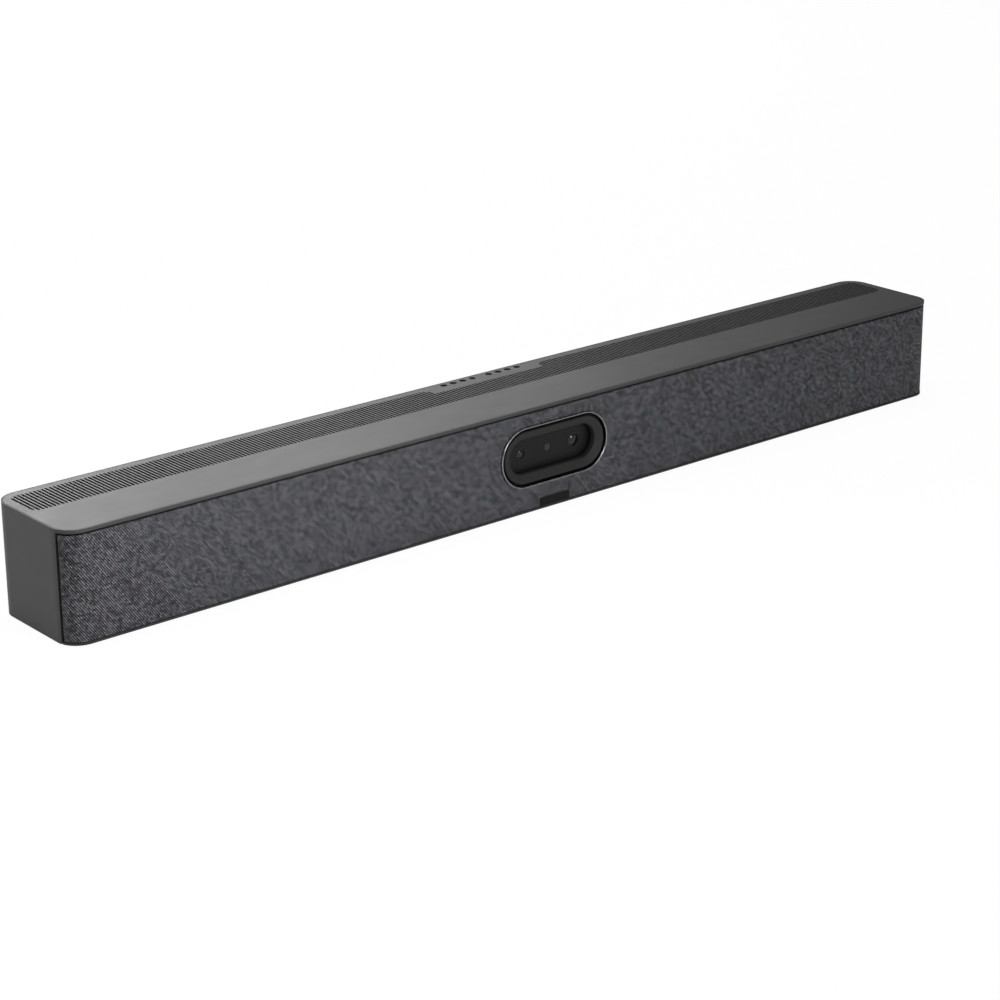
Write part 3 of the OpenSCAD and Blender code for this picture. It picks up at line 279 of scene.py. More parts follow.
    def bump(self, height: Feed, depth: float, normal: Optional[Socket] = None,
             strength: float = 1.0) -> Socket:
        """Turns a height into a normal.

        Args:
            height: the height from 0 to 1.
            depth: the depth in metres that 1 stands for.
            normal: the normal that it starts from.
            strength: how much of it shows.

        Returns:
            The normal.
        """
        made = self.node("ShaderNodeBump")
        for name, source in {"Strength": strength, "Distance": depth, "Height": height}.items():
            self.feed(made.inputs[name], source)
        if normal is not None:
            self.feed(made.inputs["Normal"], normal)
        return made.outputs[0]


class Effect:
    """A shader group that materials share, built when it is first placed."""

    ORIGIN: ClassVar[Point] = (0.0, 0.0, 0.0)
    title: ClassVar[str]
    inputs: ClassVar[dict[str, Feed]] = {"Place": ORIGIN}

    def draw(self, wires: Wiring, given: dict[str, Socket]) -> dict[str, Socket]:
        """Draws the group.

        Args:
            wires: the group's wiring.
            given: its inputs by name.

        Returns:
            Its outputs by name.
        """
        raise NotImplementedError

    @cache
    def tree(self) -> bpy.types.NodeTree:
        """Builds the group.

        Returns:
            The group's tree.
        """
        tree = bpy.data.node_groups.new(self.title, "ShaderNodeTree")
        wires = Wiring(tree)
        for name, value in self.inputs.items():
            kind = "NodeSocketFloat" if isinstance(value, float) else "NodeSocketVector"
            made = tree.interface.new_socket(name=name, in_out="INPUT", socket_type=kind)
            made.default_value = value
        given = wires.node("NodeGroupInput").outputs
        drawn = self.draw(wires, {name: given[name] for name in self.inputs})
        for name, source in drawn.items():
            kind = "NodeSocketVector" if source.type == "VECTOR" else "NodeSocketFloat"
            tree.interface.new_socket(name=name, in_out="OUTPUT", socket_type=kind)
        out = wires.node("NodeGroupOutput")
        for name, source in drawn.items():
            wires.feed(out.inputs[name], source)
        return tree

    def put(self, wires: Wiring, **feeds: Feed) -> dict[str, Socket]:
        """Places the group in a tree.

        Args:
            wires: that tree's wiring.
            feeds: the group's inputs by name.

        Returns:
            The group's outputs by name.
        """
        made = wires.node("ShaderNodeGroup", node_tree=self.tree())
        for name, source in feeds.items():
            wires.feed(made.inputs[name], source)
        return {out.name: out for out in made.outputs}


@dataclass(frozen=True)
class Grain(Effect):
    """The fine grain of paint and moulded plastic."""

    title = "Fine grain"
    inputs = {"Place": Effect.ORIGIN, "Fineness": 2500.0}
    coarse_scale: float = 0.3
    cloud_scale: float = 14.0
    smear_scale: float = 38.0
    smear_stretch: Point = (1.0, 2.5, 2.5)

    def draw(self, wires: Wiring, given: dict[str, Socket]) -> dict[str, Socket]:
        """Draws the group.

        Args:
            wires: the group's wiring.
            given: its inputs.

        Returns:
            Tone, Gloss and Height.
        """
        place, fineness = given["Place"], given["Fineness"]
        speck = wires.noise(place, fineness, 1.0)
        coarse = wires.noise(place, wires.times(fineness, self.coarse_scale), 2.0)
        cloud = wires.noise(place, self.cloud_scale, 3.0)
        drawn = wires.vector("MULTIPLY", place, self.smear_stretch)
        smear = wires.noise(drawn, self.smear_scale, 4.0)
        height = wires.weigh((speck, 0.6), (coarse, 0.4))
        return {
            "Tone": wires.weigh((height, 0.5), (cloud, 0.5)),
            "Gloss": wires.weigh((smear, 0.7), (coarse, 0.3)),
            "Height": height,
        }


@dataclass(frozen=True)
class SoftEdge(Effect):
    """The softened edge, with a patchy mask along it where the colour is lightened: rubbed wear
    and painted highlight.
    """

    title = "Soft edge"
    inputs = {"Place": Effect.ORIGIN, "Radius": 0.3 * MM}
    samples: int = 6
    turned: tuple[float, float] = (0.72, 0.995)
    patch_scale: float = 160.0
    patch_range: tuple[float, float] = (0.35, 0.65)
    least_rubbed_and_lit: float = 0.35

    def draw(self, wires: Wiring, given: dict[str, Socket]) -> dict[str, Socket]:
        """Draws the group.

        Args:
            wires: the group's wiring.
            given: its inputs.

        Returns:
            Normal, and Rubbed and lit: the mask where the edge colour is lightened.
        """
        soft = wires.fed("ShaderNodeBevel", [given["Radius"]], samples=self.samples).outputs[0]
        flat = wires.node("ShaderNodeNewGeometry").outputs["Normal"]
        edge = wires.span(wires.vector("DOT_PRODUCT", soft, flat), 1.0, 0.0, *self.turned)
        patches = wires.noise(given["Place"], self.patch_scale, 3.0)
        patchy = wires.span(patches, self.least_rubbed_and_lit, 1.0, *self.patch_range)
        return {"Normal": soft, "Rubbed and lit": wires.sum("MULTIPLY", edge, patchy, clamp=True)}


@dataclass(frozen=True)
class Brushed(Effect):
    """Fine streaks along one way."""

    title = "Brushed streaks"
    inputs = {"Place": Effect.ORIGIN, "Stretch": (1.0, 1.0, 1.0)}
    streak_scale: float = 6000.0
    mottle_scale: float = 240.0

    def draw(self, wires: Wiring, given: dict[str, Socket]) -> dict[str, Socket]:
        """Draws the group.

        Args:
            wires: the group's wiring.
            given: its inputs.

        Returns:
            Streak and Mottle.
        """
        drawn = wires.vector("MULTIPLY", given["Place"], given["Stretch"])
        return {
            "Streak": wires.noise(drawn, self.streak_scale, 3.0),
            "Mottle": wires.noise(given["Place"], self.mottle_scale, 4.0),
        }


@dataclass(frozen=True)
class Twill(Effect):
    """A heathered twill of single threads, of which one in three steps shows the weft."""

    title = "Heather twill"
    warp: float = 0.565 * MM
    weft: float = 0.777 * MM
    drift: float = 0.16 * MM
    drift_scale: float = 300.0
    cloud_scale: float = 75.0
    repeat: float = 3.0
    tuft_rows: float = 2.0
    own_share: float = 0.36
    tuft_share: float = 0.59
    yarn_share: float = 0.05

    def draw(self, wires: Wiring, given: dict[str, Socket]) -> dict[str, Socket]:
        """Draws the group.

        Args:
            wires: the group's wiring.
            given: its inputs.

        Returns:
            Weft, Fleck, Cloud and Height.
        """
        place = given["Place"]
        drift = wires.vector("SUBTRACT", wires.noise(place, self.drift_scale, 1.0), 0.5)
        place = wires.vector("ADD", place, wires.vector("MULTIPLY", drift, self.drift))
        along, up, _ = wires.split(place)
        threads = wires.sum("DIVIDE", along, self.warp), wires.sum("DIVIDE", up, self.weft)
        column, row = (wires.sum("FLOOR", thread) for thread in threads)
        step = wires.plus(column, row)
        weft = wires.below(wires.sum("FLOORED_MODULO", step, self.repeat), 0.5)
        turn = wires.sum("FLOOR", wires.sum("DIVIDE", step, self.repeat))
        warp_own = wires.chance(column, turn)
        weft_own = wires.chance(wires.plus(column, 0.5), row)
        own = wires.mix(weft, warp_own, weft_own)
        tuft = wires.chance(turn, wires.sum("FLOOR", wires.sum("DIVIDE", row, self.tuft_rows)))
        yarn = wires.chance(turn, 7.0)
        shares = (own, self.own_share), (tuft, self.tuft_share), (yarn, self.yarn_share)
        rounds = [wires.sum("SINE", wires.times(wires.sum("FRACT", thread), math.pi))
                  for thread in threads]
        return {
            "Weft": weft,
            "Fleck": wires.weigh(*shares),
            "Cloud": wires.noise(place, self.cloud_scale, 3.0),
            "Height": wires.mix(weft, *rounds),
        }


@dataclass(frozen=True)
class Circuit(Effect):
    """The traces and pads of a circuit board."""

    title = "Circuit traces"
    gap: float = 0.18 * MM
    trace_length: float = 6.1 * MM
    trace_pitch: float = 1.2 * MM
    offset: float = 0.37
    pad_scale: float = 260.0
    pad_size: float = 0.14
    trace_height: float = 0.5

    def draw(self, wires: Wiring, given: dict[str, Socket]) -> dict[str, Socket]:
        """Draws the group.

        Args:
            wires: the group's wiring.
            given: its inputs.

        Returns:
            Copper, Pads and Height.
        """
        lanes = wires.fed("ShaderNodeTexBrick", [given["Place"]], offset=self.offset, squash=1.0)
        sizes = {"Scale": 1.0, "Mortar Size": self.gap, "Brick Width": self.trace_length,
                 "Row Height": self.trace_pitch}
        for name, value in sizes.items():
            lanes.inputs[name].default_value = value
        cells = wires.fed("ShaderNodeTexVoronoi", [given["Place"]], distance="CHEBYCHEV")
        cells.inputs["Scale"].default_value = self.pad_scale
        copper, pads = lanes.outputs["Fac"], wires.below(cells.outputs["Distance"], self.pad_size)
        height = wires.sum("MAXIMUM", wires.times(copper, self.trace_height), pads)
        return {"Copper": copper, "Pads": pads, "Height": height}


GRAIN, SOFT_EDGE, BRUSHED, TWILL, CIRCUIT = Grain(), SoftEdge(), Brushed(), Twill(), Circuit()


def blank(name: str) -> tuple[bpy.types.Material, Wiring]:
    """Makes a material without nodes.

    Args:
        name: its name.

    Returns:
        The material and its wiring.
    """
    made = bpy.data.materials.new(name)
    made.use_nodes = True
    made.node_tree.nodes.clear()
    return made, Wiring(made.node_tree)


class Finish:
    """A finish that makes one material and puts it on pieces."""

    def shade(self, wires: Wiring) -> Look:
        """Draws what the shader shows.

        Args:
            wires: the material's wiring.

        Returns:
            What goes into the inputs of the Principled BSDF, by name.
        """
        raise NotImplementedError

    def dress(self, name: str, *pieces: Union[str, bpy.types.Object]) -> None:
        """Puts the finish on CAD nodes and pieces.

        Args:
            name: the material's name.
            pieces: CAD node names or objects.
        """
        made, wires = blank(name)
        shader = wires.node("ShaderNodeBsdfPrincipled")
        for socket, source in self.shade(wires).items():
            wires.feed(shader.inputs[socket], source)
        wires.fed("ShaderNodeOutputMaterial", [shader.outputs[0]])
        for piece in pieces:
            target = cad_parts[piece] if isinstance(piece, str) else piece
            if not target.material_slots:
                target.data.materials.append(made)
            for place in target.material_slots:
                place.material = made


class ShadedPart(Enum):
    """Where black is painted into a moulding's recesses as shade."""

    NOWHERE = "nowhere"
    BELOW_TOP = "below the top face"
    INSIDE = "inside the walls"
    GROOVE = "in the groove round the window"
    SOCKET = "behind the mouth of a socket"


# Limits of the painted shade in the mouldings' recesses: below the cover's face, behind the
# cloth's ends, in sockets and in the window's groove.
COVER_FACE = TOP - 0.03 * MM
RIM_SEAT = TOP - 0.12 * MM
CLOTH_END = FRONT + 12.5 * MM
SOCKET_MOUTH = FRONT + 71.5 * MM
GROOVE_FACE = FRONT + 0.25 * MM
GROOVE_INNER, GROOVE_OUTER = 18.7 * MM, 21.3 * MM
FACES_IN, FACES_UP = -0.3, 0.5


def groove_part(wires: Wiring, x: Socket, y: Socket, z: Socket) -> Socket:
    """Finds the groove round the window.

    Args:
        wires: the tree's wiring.
        x: the place along the bar.
        y: the place along its depth.
        z: the height.

    Returns:
        1 in the groove.
    """
    beside = wires.sum("MAXIMUM", wires.minus(wires.sum("ABSOLUTE", x), WINDOW_CORE), 0.0)
    reach = wires.vector("LENGTH", wires.join(beside, wires.minus(z, WINDOW_UP)))
    ring = wires.times(wires.above(reach, GROOVE_INNER), wires.below(reach, GROOVE_OUTER))
    return wires.times(wires.above(y, GROOVE_FACE), ring)


def painted_shade_part(wires: Wiring, place: Socket, where: ShadedPart) -> Socket:
    """Finds where a moulding has black painted on as shade.

    Args:
        wires: the tree's wiring.
        place: the coordinates.
        where: which part gets the painted shade.

    Returns:
        1 where the shade is painted.
    """
    x, y, z = wires.split(place)
    if where is ShadedPart.BELOW_TOP:
        return wires.below(z, COVER_FACE)
    if where is ShadedPart.SOCKET:
        return wires.below(y, SOCKET_MOUTH)
    if where is ShadedPart.GROOVE:
        return groove_part(wires, x, y, z)
    facing = wires.split(wires.node("ShaderNodeNewGeometry").outputs["True Normal"])
    sides = [wires.times(facing[axis], wires.sum("SIGN", off)) for axis, off in ((0, x), (1, y))]
    inward = wires.below(wires.sum("MINIMUM", *sides), FACES_IN)
    deep = wires.times(inward, wires.above(y, CLOTH_END))
    sunk = wires.times(wires.above(facing[2], FACES_UP), wires.below(z, RIM_SEAT))
    return wires.sum("MAXIMUM", deep, sunk)


@dataclass(frozen=True)
class Paint(Finish):
    """A sprayed or moulded surface with a fine grain, edges lightened as rubbed wear and painted
    highlight, and recesses that can take painted shade.
    """

    colour: Colour
    roughness: float = 0.42
    spread: float = 0.1
    fineness: float = 2500.0
    depth: float = 0.04 * MM
    edge: float = 0.3 * MM
    rubbed_and_lit: float = 0.5
    coat: float = 0.0
    coat_roughness: float = 0.08
    specular: float = 0.5
    uneven: float = 0.12
    painted_shade: ShadedPart = ShadedPart.NOWHERE
    painted_shade_colour: Colour = grey(0.004)
    painted_shade_roughness: float = 0.92

    def shade(self, wires: Wiring) -> Look:
        """Draws what the shader shows.

        Args:
            wires: the material's wiring.

        Returns:
            The shader's inputs by name.
        """
        place = wires.place()
        grain = GRAIN.put(wires, Place=place, Fineness=self.fineness)
        rim = SOFT_EDGE.put(wires, Place=place, Radius=self.edge)
        ends = toned(self.colour, 1.0 - self.uneven), toned(self.colour, 1.0 + self.uneven)
        # The lightened edge colour is rubbed wear and a painted highlight.
        worn_and_lit = toned(self.colour, 1.0 + 0.9 * self.rubbed_and_lit, 0.01 * self.rubbed_and_lit)
        tone = wires.mix(wires.spread(grain["Tone"], 0.0, 1.0), *ends)
        tone = wires.mix(rim["Rubbed and lit"], tone, worn_and_lit)
        half = self.spread / 2
        rough = wires.spread(grain["Gloss"], self.roughness - half, self.roughness + half)
        # Painted shade: these recesses are painted near black and matt.
        if self.painted_shade is not ShadedPart.NOWHERE:
            part = painted_shade_part(wires, place, self.painted_shade)
            tone = wires.mix(part, tone, self.painted_shade_colour)
            rough = wires.sum("MAXIMUM", rough, wires.times(part, self.painted_shade_roughness))
        return {
            "Base Color": tone,
            "Roughness": rough,
            "Normal": wires.bump(grain["Height"], self.depth, rim["Normal"]),
            "Specular IOR Level": self.specular,
            "Coat Weight": self.coat,
            "Coat Roughness": self.coat_roughness,
        }


@dataclass(frozen=True)
class Metal(Finish):
    """Uncoated metal with fine streaks along one way, edges lightened as wear and painted
    highlight, and recesses that can take painted shade.
    """

    colour: Colour
    roughness: float = 0.3
    stretch: Point = (1.0, 1.0, 1.0)
    depth: float = 0.01 * MM
    edge: float = 0.2 * MM
    uneven: float = 0.05
    mottle: tuple[float, float] = (-0.06, 0.08)
    painted_shade: ShadedPart = ShadedPart.NOWHERE
    painted_shade_colour: Colour = grey(0.006)

    def shade(self, wires: Wiring) -> Look:
        """Draws what the shader shows.

        Args:
            wires: the material's wiring.

        Returns:
            The shader's inputs by name.
        """
        place = wires.place()
        streaks = BRUSHED.put(wires, Place=place, Stretch=self.stretch)
        rim = SOFT_EDGE.put(wires, Place=place, Radius=self.edge)
        # The brightest tone goes on the edges as rubbed wear and a painted highlight.
        dark, light, rubbed_and_lit_tone = (toned(self.colour, factor) for factor in (0.8, 1.15, 1.35))
        tone = wires.mix(wires.spread(streaks["Streak"], 0.0, 1.0), dark, light)
        tone = wires.mix(rim["Rubbed and lit"], tone, rubbed_and_lit_tone)
        metallic: Feed = 1.0
        # Painted shade: these recesses are painted near black and made not metallic.
        if self.painted_shade is not ShadedPart.NOWHERE:
            part = painted_shade_part(wires, place, self.painted_shade)
            tone = wires.mix(part, tone, self.painted_shade_colour)
            metallic = wires.minus(1.0, part)
        low, high = self.roughness - self.uneven, self.roughness + self.uneven
        mottle = wires.spread(streaks["Mottle"], *self.mottle)
        return {
            "Base Color": tone,
            "Metallic": metallic,
            "Roughness": wires.plus(mottle, wires.spread(streaks["Streak"], low, high)),
            "Normal": wires.bump(streaks["Streak"], self.depth, rim["Normal"]),
        }


@dataclass(frozen=True)
class Heather(Finish):
    """The grey heathered twill of the front, on the cloth's own map."""

    warp: Colour = grey(0.033, 0.004)
    weft: Colour = grey(0.228, 0.022)
    contrast: float = 0.72
    curve: float = 1.6
    hollow_shade: float = 0.45
    crown_light: float = 1.12
    depth: float = 0.08 * MM
    strength: float = 0.4
    tints: tuple[tuple[float, Colour], ...] = (
        (0.0, (0.95, 1.0, 1.06)), (0.5, (1.0, 1.0, 1.0)), (1.0, (1.07, 0.98, 1.04)),
    )

    def shade(self, wires: Wiring) -> Look:
        """Draws what the shader shows.

        Args:
            wires: the material's wiring.

        Returns:
            The shader's inputs by name.
        """
        flat = wires.node("ShaderNodeUVMap", uv_map="weave").outputs[0]
        weave = TWILL.put(wires, Place=flat)
        curved = wires.sum("POWER", weave["Fleck"], self.curve)
        fleck = wires.span(curved, 1.0 - self.contrast, 1.0 + 2.0 * self.contrast)
        # The threads' relief is painted into the colour: painted shade in the hollows between
        # threads and painted light on their crowns, times the random fleck.
        level = wires.times(fleck, wires.span(weave["Height"], self.hollow_shade, self.crown_light))
        tint = wires.ramp(wires.spread(weave["Cloud"], 0.0, 1.0), self.tints)
        tone = wires.mix(1.0, wires.mix(weave["Weft"], self.warp, self.weft), tint, "MULTIPLY")
        return {
            "Base Color": wires.mix(1.0, tone, wires.join(level, level, level), "MULTIPLY"),
            "Roughness": wires.span(weave["Fleck"], 0.7, 0.5),
            "Normal": wires.bump(weave["Height"], self.depth, strength=self.strength),
            "Sheen Weight": 0.1,
            "Sheen Roughness": 0.5,
            "Specular IOR Level": 0.25,
        }


@dataclass(frozen=True)
class LensGlass(Finish):
    """A dark coated glass that shines like a dome and has rings round its own axis."""

    centre_x: float
    radius: float
    pupil: float = 0.42
    tint: Colour = (0.005, 0.004, 0.009)
    slope: float = 0.42
    centre_z: float = WINDOW_UP

    def shade(self, wires: Wiring) -> Look:
        """Draws what the shader shows.

        Args:
            wires: the material's wiring.

        Returns:
            The shader's inputs by name.
        """
        place = wires.place()
        x, _, z = wires.split(place)
        right, up = wires.minus(x, self.centre_x), wires.minus(z, self.centre_z)
        reach = wires.vector("LENGTH", wires.join(right, 0.0, up))
        rings = wires.ramp(wires.sum("DIVIDE", reach, self.radius), [
            (0.0, self.tint),
            (self.pupil * 0.8, toned(self.tint, 1.6)),
            (self.pupil, grey(0.001)),
            (self.pupil + 0.16, grey(0.004)),
            (self.pupil + 0.22, grey(0.022, 0.002)),
            (self.pupil + 0.28, grey(0.003)),
            (0.9, grey(0.006, 0.001)),
            (0.96, grey(0.03, 0.002)),
        ])
        rise = self.slope / self.radius
        domed = wires.join(wires.times(right, rise), -1.0, wires.times(up, rise))
        return {
            "Base Color": rings,
            "Roughness": wires.span(wires.noise(place, 900.0, 2.0), 0.03, 0.07),
            "Normal": wires.vector("NORMALIZE", domed),
            "IOR": 1.5,
            "Coat Weight": 0.3,
            "Coat Roughness": 0.02,
            "Coat IOR": 1.5,
        }


@dataclass(frozen=True)
class Board(Finish):
    """A green circuit board whose chips stand above its own face."""

    axis: int
    face: float
    upward: bool = True
    mask: Colour = (0.012, 0.075, 0.028)
    trace: Colour = (0.022, 0.12, 0.045)
    pad: Colour = (0.45, 0.4, 0.28)
    chip: Colour = grey(0.013, 0.001)
    fineness: float = 1800.0
    depth: float = 0.03 * MM

    def shade(self, wires: Wiring) -> Look:
        """Draws what the shader shows.

        Args:
            wires: the material's wiring.

        Returns:
            The shader's inputs by name.
        """
        place = wires.place()
        parts = wires.split(place)
        flat = wires.join(parts[0], parts[2] if self.axis == 1 else parts[1])
        traces = CIRCUIT.put(wires, Place=flat)
        grain = GRAIN.put(wires, Place=place, Fineness=self.fineness)
        board = wires.mix(traces["Copper"], self.mask, self.trace)
        board = wires.mix(traces["Pads"], board, self.pad)
        chips = wires.mix(grain["Tone"], toned(self.chip, 0.8), toned(self.chip, 1.5))
        raised = (wires.above if self.upward else wires.below)(parts[self.axis], self.face)
        return {
            "Base Color": wires.mix(raised, board, chips),
            "Roughness": wires.spread(grain["Gloss"], 0.3, 0.5),
            "Normal": wires.bump(traces["Height"], self.depth),
        }


@dataclass(frozen=True)
class Ribbon(Finish):
    """A flat cable with its conductors side by side."""

    colour: Colour
    line: Colour
    axis: int
    pitch: float
    fineness: float = 2200.0
    depth: float = 0.06 * MM

    def shade(self, wires: Wiring) -> Look:
        """Draws what the shader shows.

        Args:
            wires: the material's wiring.

        Returns:
            The shader's inputs by name.
        """
        place = wires.place()
        wave = wires.wave(wires.split(place)[self.axis], self.pitch)
        lines = wires.span(wave, 0.0, 1.0, -0.3, 0.3)
        grain = GRAIN.put(wires, Place=place, Fineness=self.fineness)
        return {
            "Base Color": wires.mix(lines, self.colour, self.line),
            "Roughness": wires.spread(grain["Gloss"], 0.32, 0.5),
            "Normal": wires.bump(lines, self.depth),
        }


@dataclass(frozen=True)
class Threaded(Finish):
    """Brass with thread turns along the depth of the bar."""

    colour: Colour = (0.56, 0.38, 0.13)
    pitch: float = 0.7 * MM
    depth: float = 0.2 * MM
    strength: float = 0.7

    def shade(self, wires: Wiring) -> Look:
        """Draws what the shader shows.

        Args:
            wires: the material's wiring.

        Returns:
            The shader's inputs by name.
        """
        place = wires.place()
        turns = wires.span(wires.wave(wires.split(place)[1], self.pitch), 0.0, 1.0, -1.0, 1.0)
        streaks = BRUSHED.put(wires, Place=place)
        return {
            # The thread's grooves are painted darker as shade.
            "Base Color": wires.mix(turns, toned(self.colour, 0.55), self.colour),
            "Roughness": wires.spread(streaks["Mottle"], 0.22, 0.4),
            "Normal": wires.bump(turns, self.depth, strength=self.strength),
            "Metallic": 1.0,
        }


def deselect() -> None:
    """Leaves edit mode and deselects every object."""
    if bpy.context.object is not None and bpy.context.object.mode != "OBJECT":
        bpy.ops.object.mode_set(mode="OBJECT")
    bpy.ops.object.select_all(action="DESELECT")


def begin(add: Callable[..., set[str]], scale: Point = (1.0, 1.0, 1.0),
          **shape: object) -> bpy.types.Object:
    """Adds a basic shape, with its place in its mesh, and opens it with all of it selected.

    Args:
        add: Blender's call that adds it.
        scale: how it is stretched along its own axes.
        shape: what that call is told.

    Returns:
        The shape.
    """
    deselect()
    add(**shape)
    made = bpy.context.object
    made.scale = scale
    bpy.ops.object.transform_apply(location=True, rotation=True, scale=True)
    bpy.ops.object.mode_set(mode="EDIT")
    bpy.ops.mesh.select_all(action="SELECT")
    return made


def pick(kind: str, test: Callable[..., bool]) -> None:
    """Selects what passes a test in the mesh that is in edit mode.

    Args:
        kind: "VERT", "EDGE" or "FACE".
        test: says of each of these whether it is selected.
    """
    bpy.ops.mesh.select_mode(type=kind)
    bpy.ops.mesh.select_all(action="DESELECT")
    data = bpy.context.object.data
    mesh = bmesh.from_edit_mesh(data)
    for item in {"VERT": mesh.verts, "EDGE": mesh.edges, "FACE": mesh.faces}[kind]:
        if test(item):
            item.select_set(True)
    mesh.select_flush_mode()
    bmesh.update_edit_mesh(data)


def modify(piece: bpy.types.Object, kind: str, **settings: object) -> None:
    """Applies a modifier to a piece, which becomes the active object.

    Args:
        piece: the piece.
        kind: the modifier's type.
        settings: attributes to set on it.
    """
    deselect()
    piece.select_set(True)
    bpy.context.view_layer.objects.active = piece
    made = piece.modifiers.new(kind, kind)
    for name, value in settings.items():
        setattr(made, name, value)
    bpy.ops.object.modifier_apply(modifier=made.name)


def settle(name: str, angle: float = 35.0) -> bpy.types.Object:
    """Ends the work on the active object: its place goes into its mesh and it is shaded smooth.

    Args:
        name: the piece's name.
        angle: the edge angle in degrees above which an edge stays sharp.

    Returns:
        The piece.
    """
    if bpy.context.object.mode != "OBJECT":
        bpy.ops.object.mode_set(mode="OBJECT")
    piece = bpy.context.object
    piece.select_set(True)
    bpy.ops.object.transform_apply(location=True, rotation=True, scale=True)
    bpy.ops.object.shade_smooth_by_angle(angle=math.radians(angle))
    piece.name = piece.data.name = name
    return piece


def copies(piece: bpy.types.Object, shifts: Iterable[float], name: str) -> bpy.types.Object:
    """Joins copies of a piece, each with its own mesh, into one piece.

    Args:
        piece: the piece that repeats, which is used up.
        shifts: how far along the bar each copy goes.
        name: the new piece's name.

    Returns:
        The joined piece.
    """
    made = []
    for shift in shifts:
        twin = piece.copy()
        twin.data = piece.data.copy()
        twin.data.transform(Matrix.Translation((shift, 0.0, 0.0)))
        bpy.context.collection.objects.link(twin)
        made.append(twin)
    bpy.data.objects.remove(piece)
    deselect()
    for twin in made:
        twin.select_set(True)
    bpy.context.view_layer.objects.active = made[0]
    bpy.ops.object.join()
    return settle(name)


def rides(piece: bpy.types.Object, body: str = BODY) -> bpy.types.Object:
    """Makes a piece ride on a body.

    Args:
        piece: the piece.
        body: the body's name.

    Returns:
        The piece.
    """
    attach(piece, body)
    LOG.info("piece %s rides on %s", piece.name, body)
    return piece


@dataclass
class FrontCloth:
    """The cloth stretched over the front frame and round both front corners."""

    half_length: float = 392.5 * MM
    corner: float = 15.4 * MM
    recess: float = 0.3 * MM
    thickness: float = 1.0 * MM
    low: float = 1.8 * MM
    high: float = 71.7 * MM
    wrap: float = 69.0
    window_core: float = WINDOW_CORE
    window_radius: float = 22.1 * MM
    window_sides: int = 96
    cut_depth: float = 12.0 * MM
    edge: float = 0.42 * MM
    edge_steps: int = 3
    arc_steps: int = 16
    close: float = 0.01 * MM
    map_shift: float = 1.0
    map_slant: float = 0.2

    def build(self) -> None:
        """Builds the cloth."""
        band = self.band()
        self.cut_window(band)
        modify(band, "BEVEL", width=self.edge, segments=self.edge_steps,
               limit_method="ANGLE", angle_limit=math.radians(50))
        piece = settle("front_cloth", 40.0)
        self.map_weave(piece)
        rides(piece)
        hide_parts("grille_cloth")
        Heather().dress("heather twill", piece)

    def band(self) -> bpy.types.Object:
        """Builds the band without its window, from a strip spun round both corners.

        Returns:
            The band as a closed solid.
        """
        middle = UNDERSIDE + (self.low + self.high) / 2
        straight = self.half_length - self.corner
        band = begin(
            bpy.ops.mesh.primitive_plane_add, (2.0 * straight, self.high - self.low, 1.0),
            size=1.0, location=(0, FRONT + self.recess, middle), rotation=(QUARTER, 0, 0),
        )
        for side in (-1, 1):
            end = side * straight
            pick("EDGE", lambda edge: all(abs(p.co.x - end) < self.close for p in edge.verts))
            bpy.ops.mesh.spin(
                steps=self.arc_steps,
                angle=-side * math.radians(self.wrap),
                center=(end, FRONT + self.corner, middle),
                axis=(0, 0, 1),
            )
        bpy.ops.mesh.select_all(action="SELECT")
        bpy.ops.mesh.remove_doubles(threshold=0.1 * self.close)
        bpy.ops.mesh.normals_make_consistent(inside=False)
        bpy.ops.object.mode_set(mode="OBJECT")
        if sum(face.normal.y * face.area for face in band.data.polygons) > 0:
            band.data.flip_normals()
        modify(band, "SOLIDIFY", thickness=self.thickness, offset=-1.0, use_even_offset=True)
        return band

    def cut_window(self, band: bpy.types.Object) -> None:
        """Cuts the window through the band, with a cylinder whose halves are moved apart.

        Args:
            band: the band, which is cut.
        """
        cutter = begin(
            bpy.ops.mesh.primitive_cylinder_add, vertices=self.window_sides,
            radius=self.window_radius, depth=self.cut_depth, location=(0, FRONT, WINDOW_UP),
            rotation=(QUARTER, math.radians(180.0 / self.window_sides), 0),
        )
        for side in (-1, 1):
            pick("VERT", lambda point: point.co.x * side > 0)
            bpy.ops.transform.translate(value=(side * self.window_core, 0, 0))
        modify(band, "BOOLEAN", operation="DIFFERENCE", solver="EXACT", object=cutter)
        bpy.data.objects.remove(cutter)

    def map_weave(self, piece: bpy.types.Object) -> None:
        """Lays the weave's map along the cloth, in metres.

        Args:
            piece: the finished cloth.
        """
        straight = self.half_length - self.corner
        layer = piece.data.uv_layers.new(name="weave")
        for loop in piece.data.loops:
            x, y, z = piece.data.vertices[loop.vertex_index].co
            along = x
            if abs(x) > straight:
                lean = math.atan2(abs(x) - straight, FRONT + self.corner - y)
                along = math.copysign(straight + lean * self.corner, x)
            up = z + (y - FRONT) * self.map_slant
            layer.data[loop.index].uv = (along + self.map_shift, up)


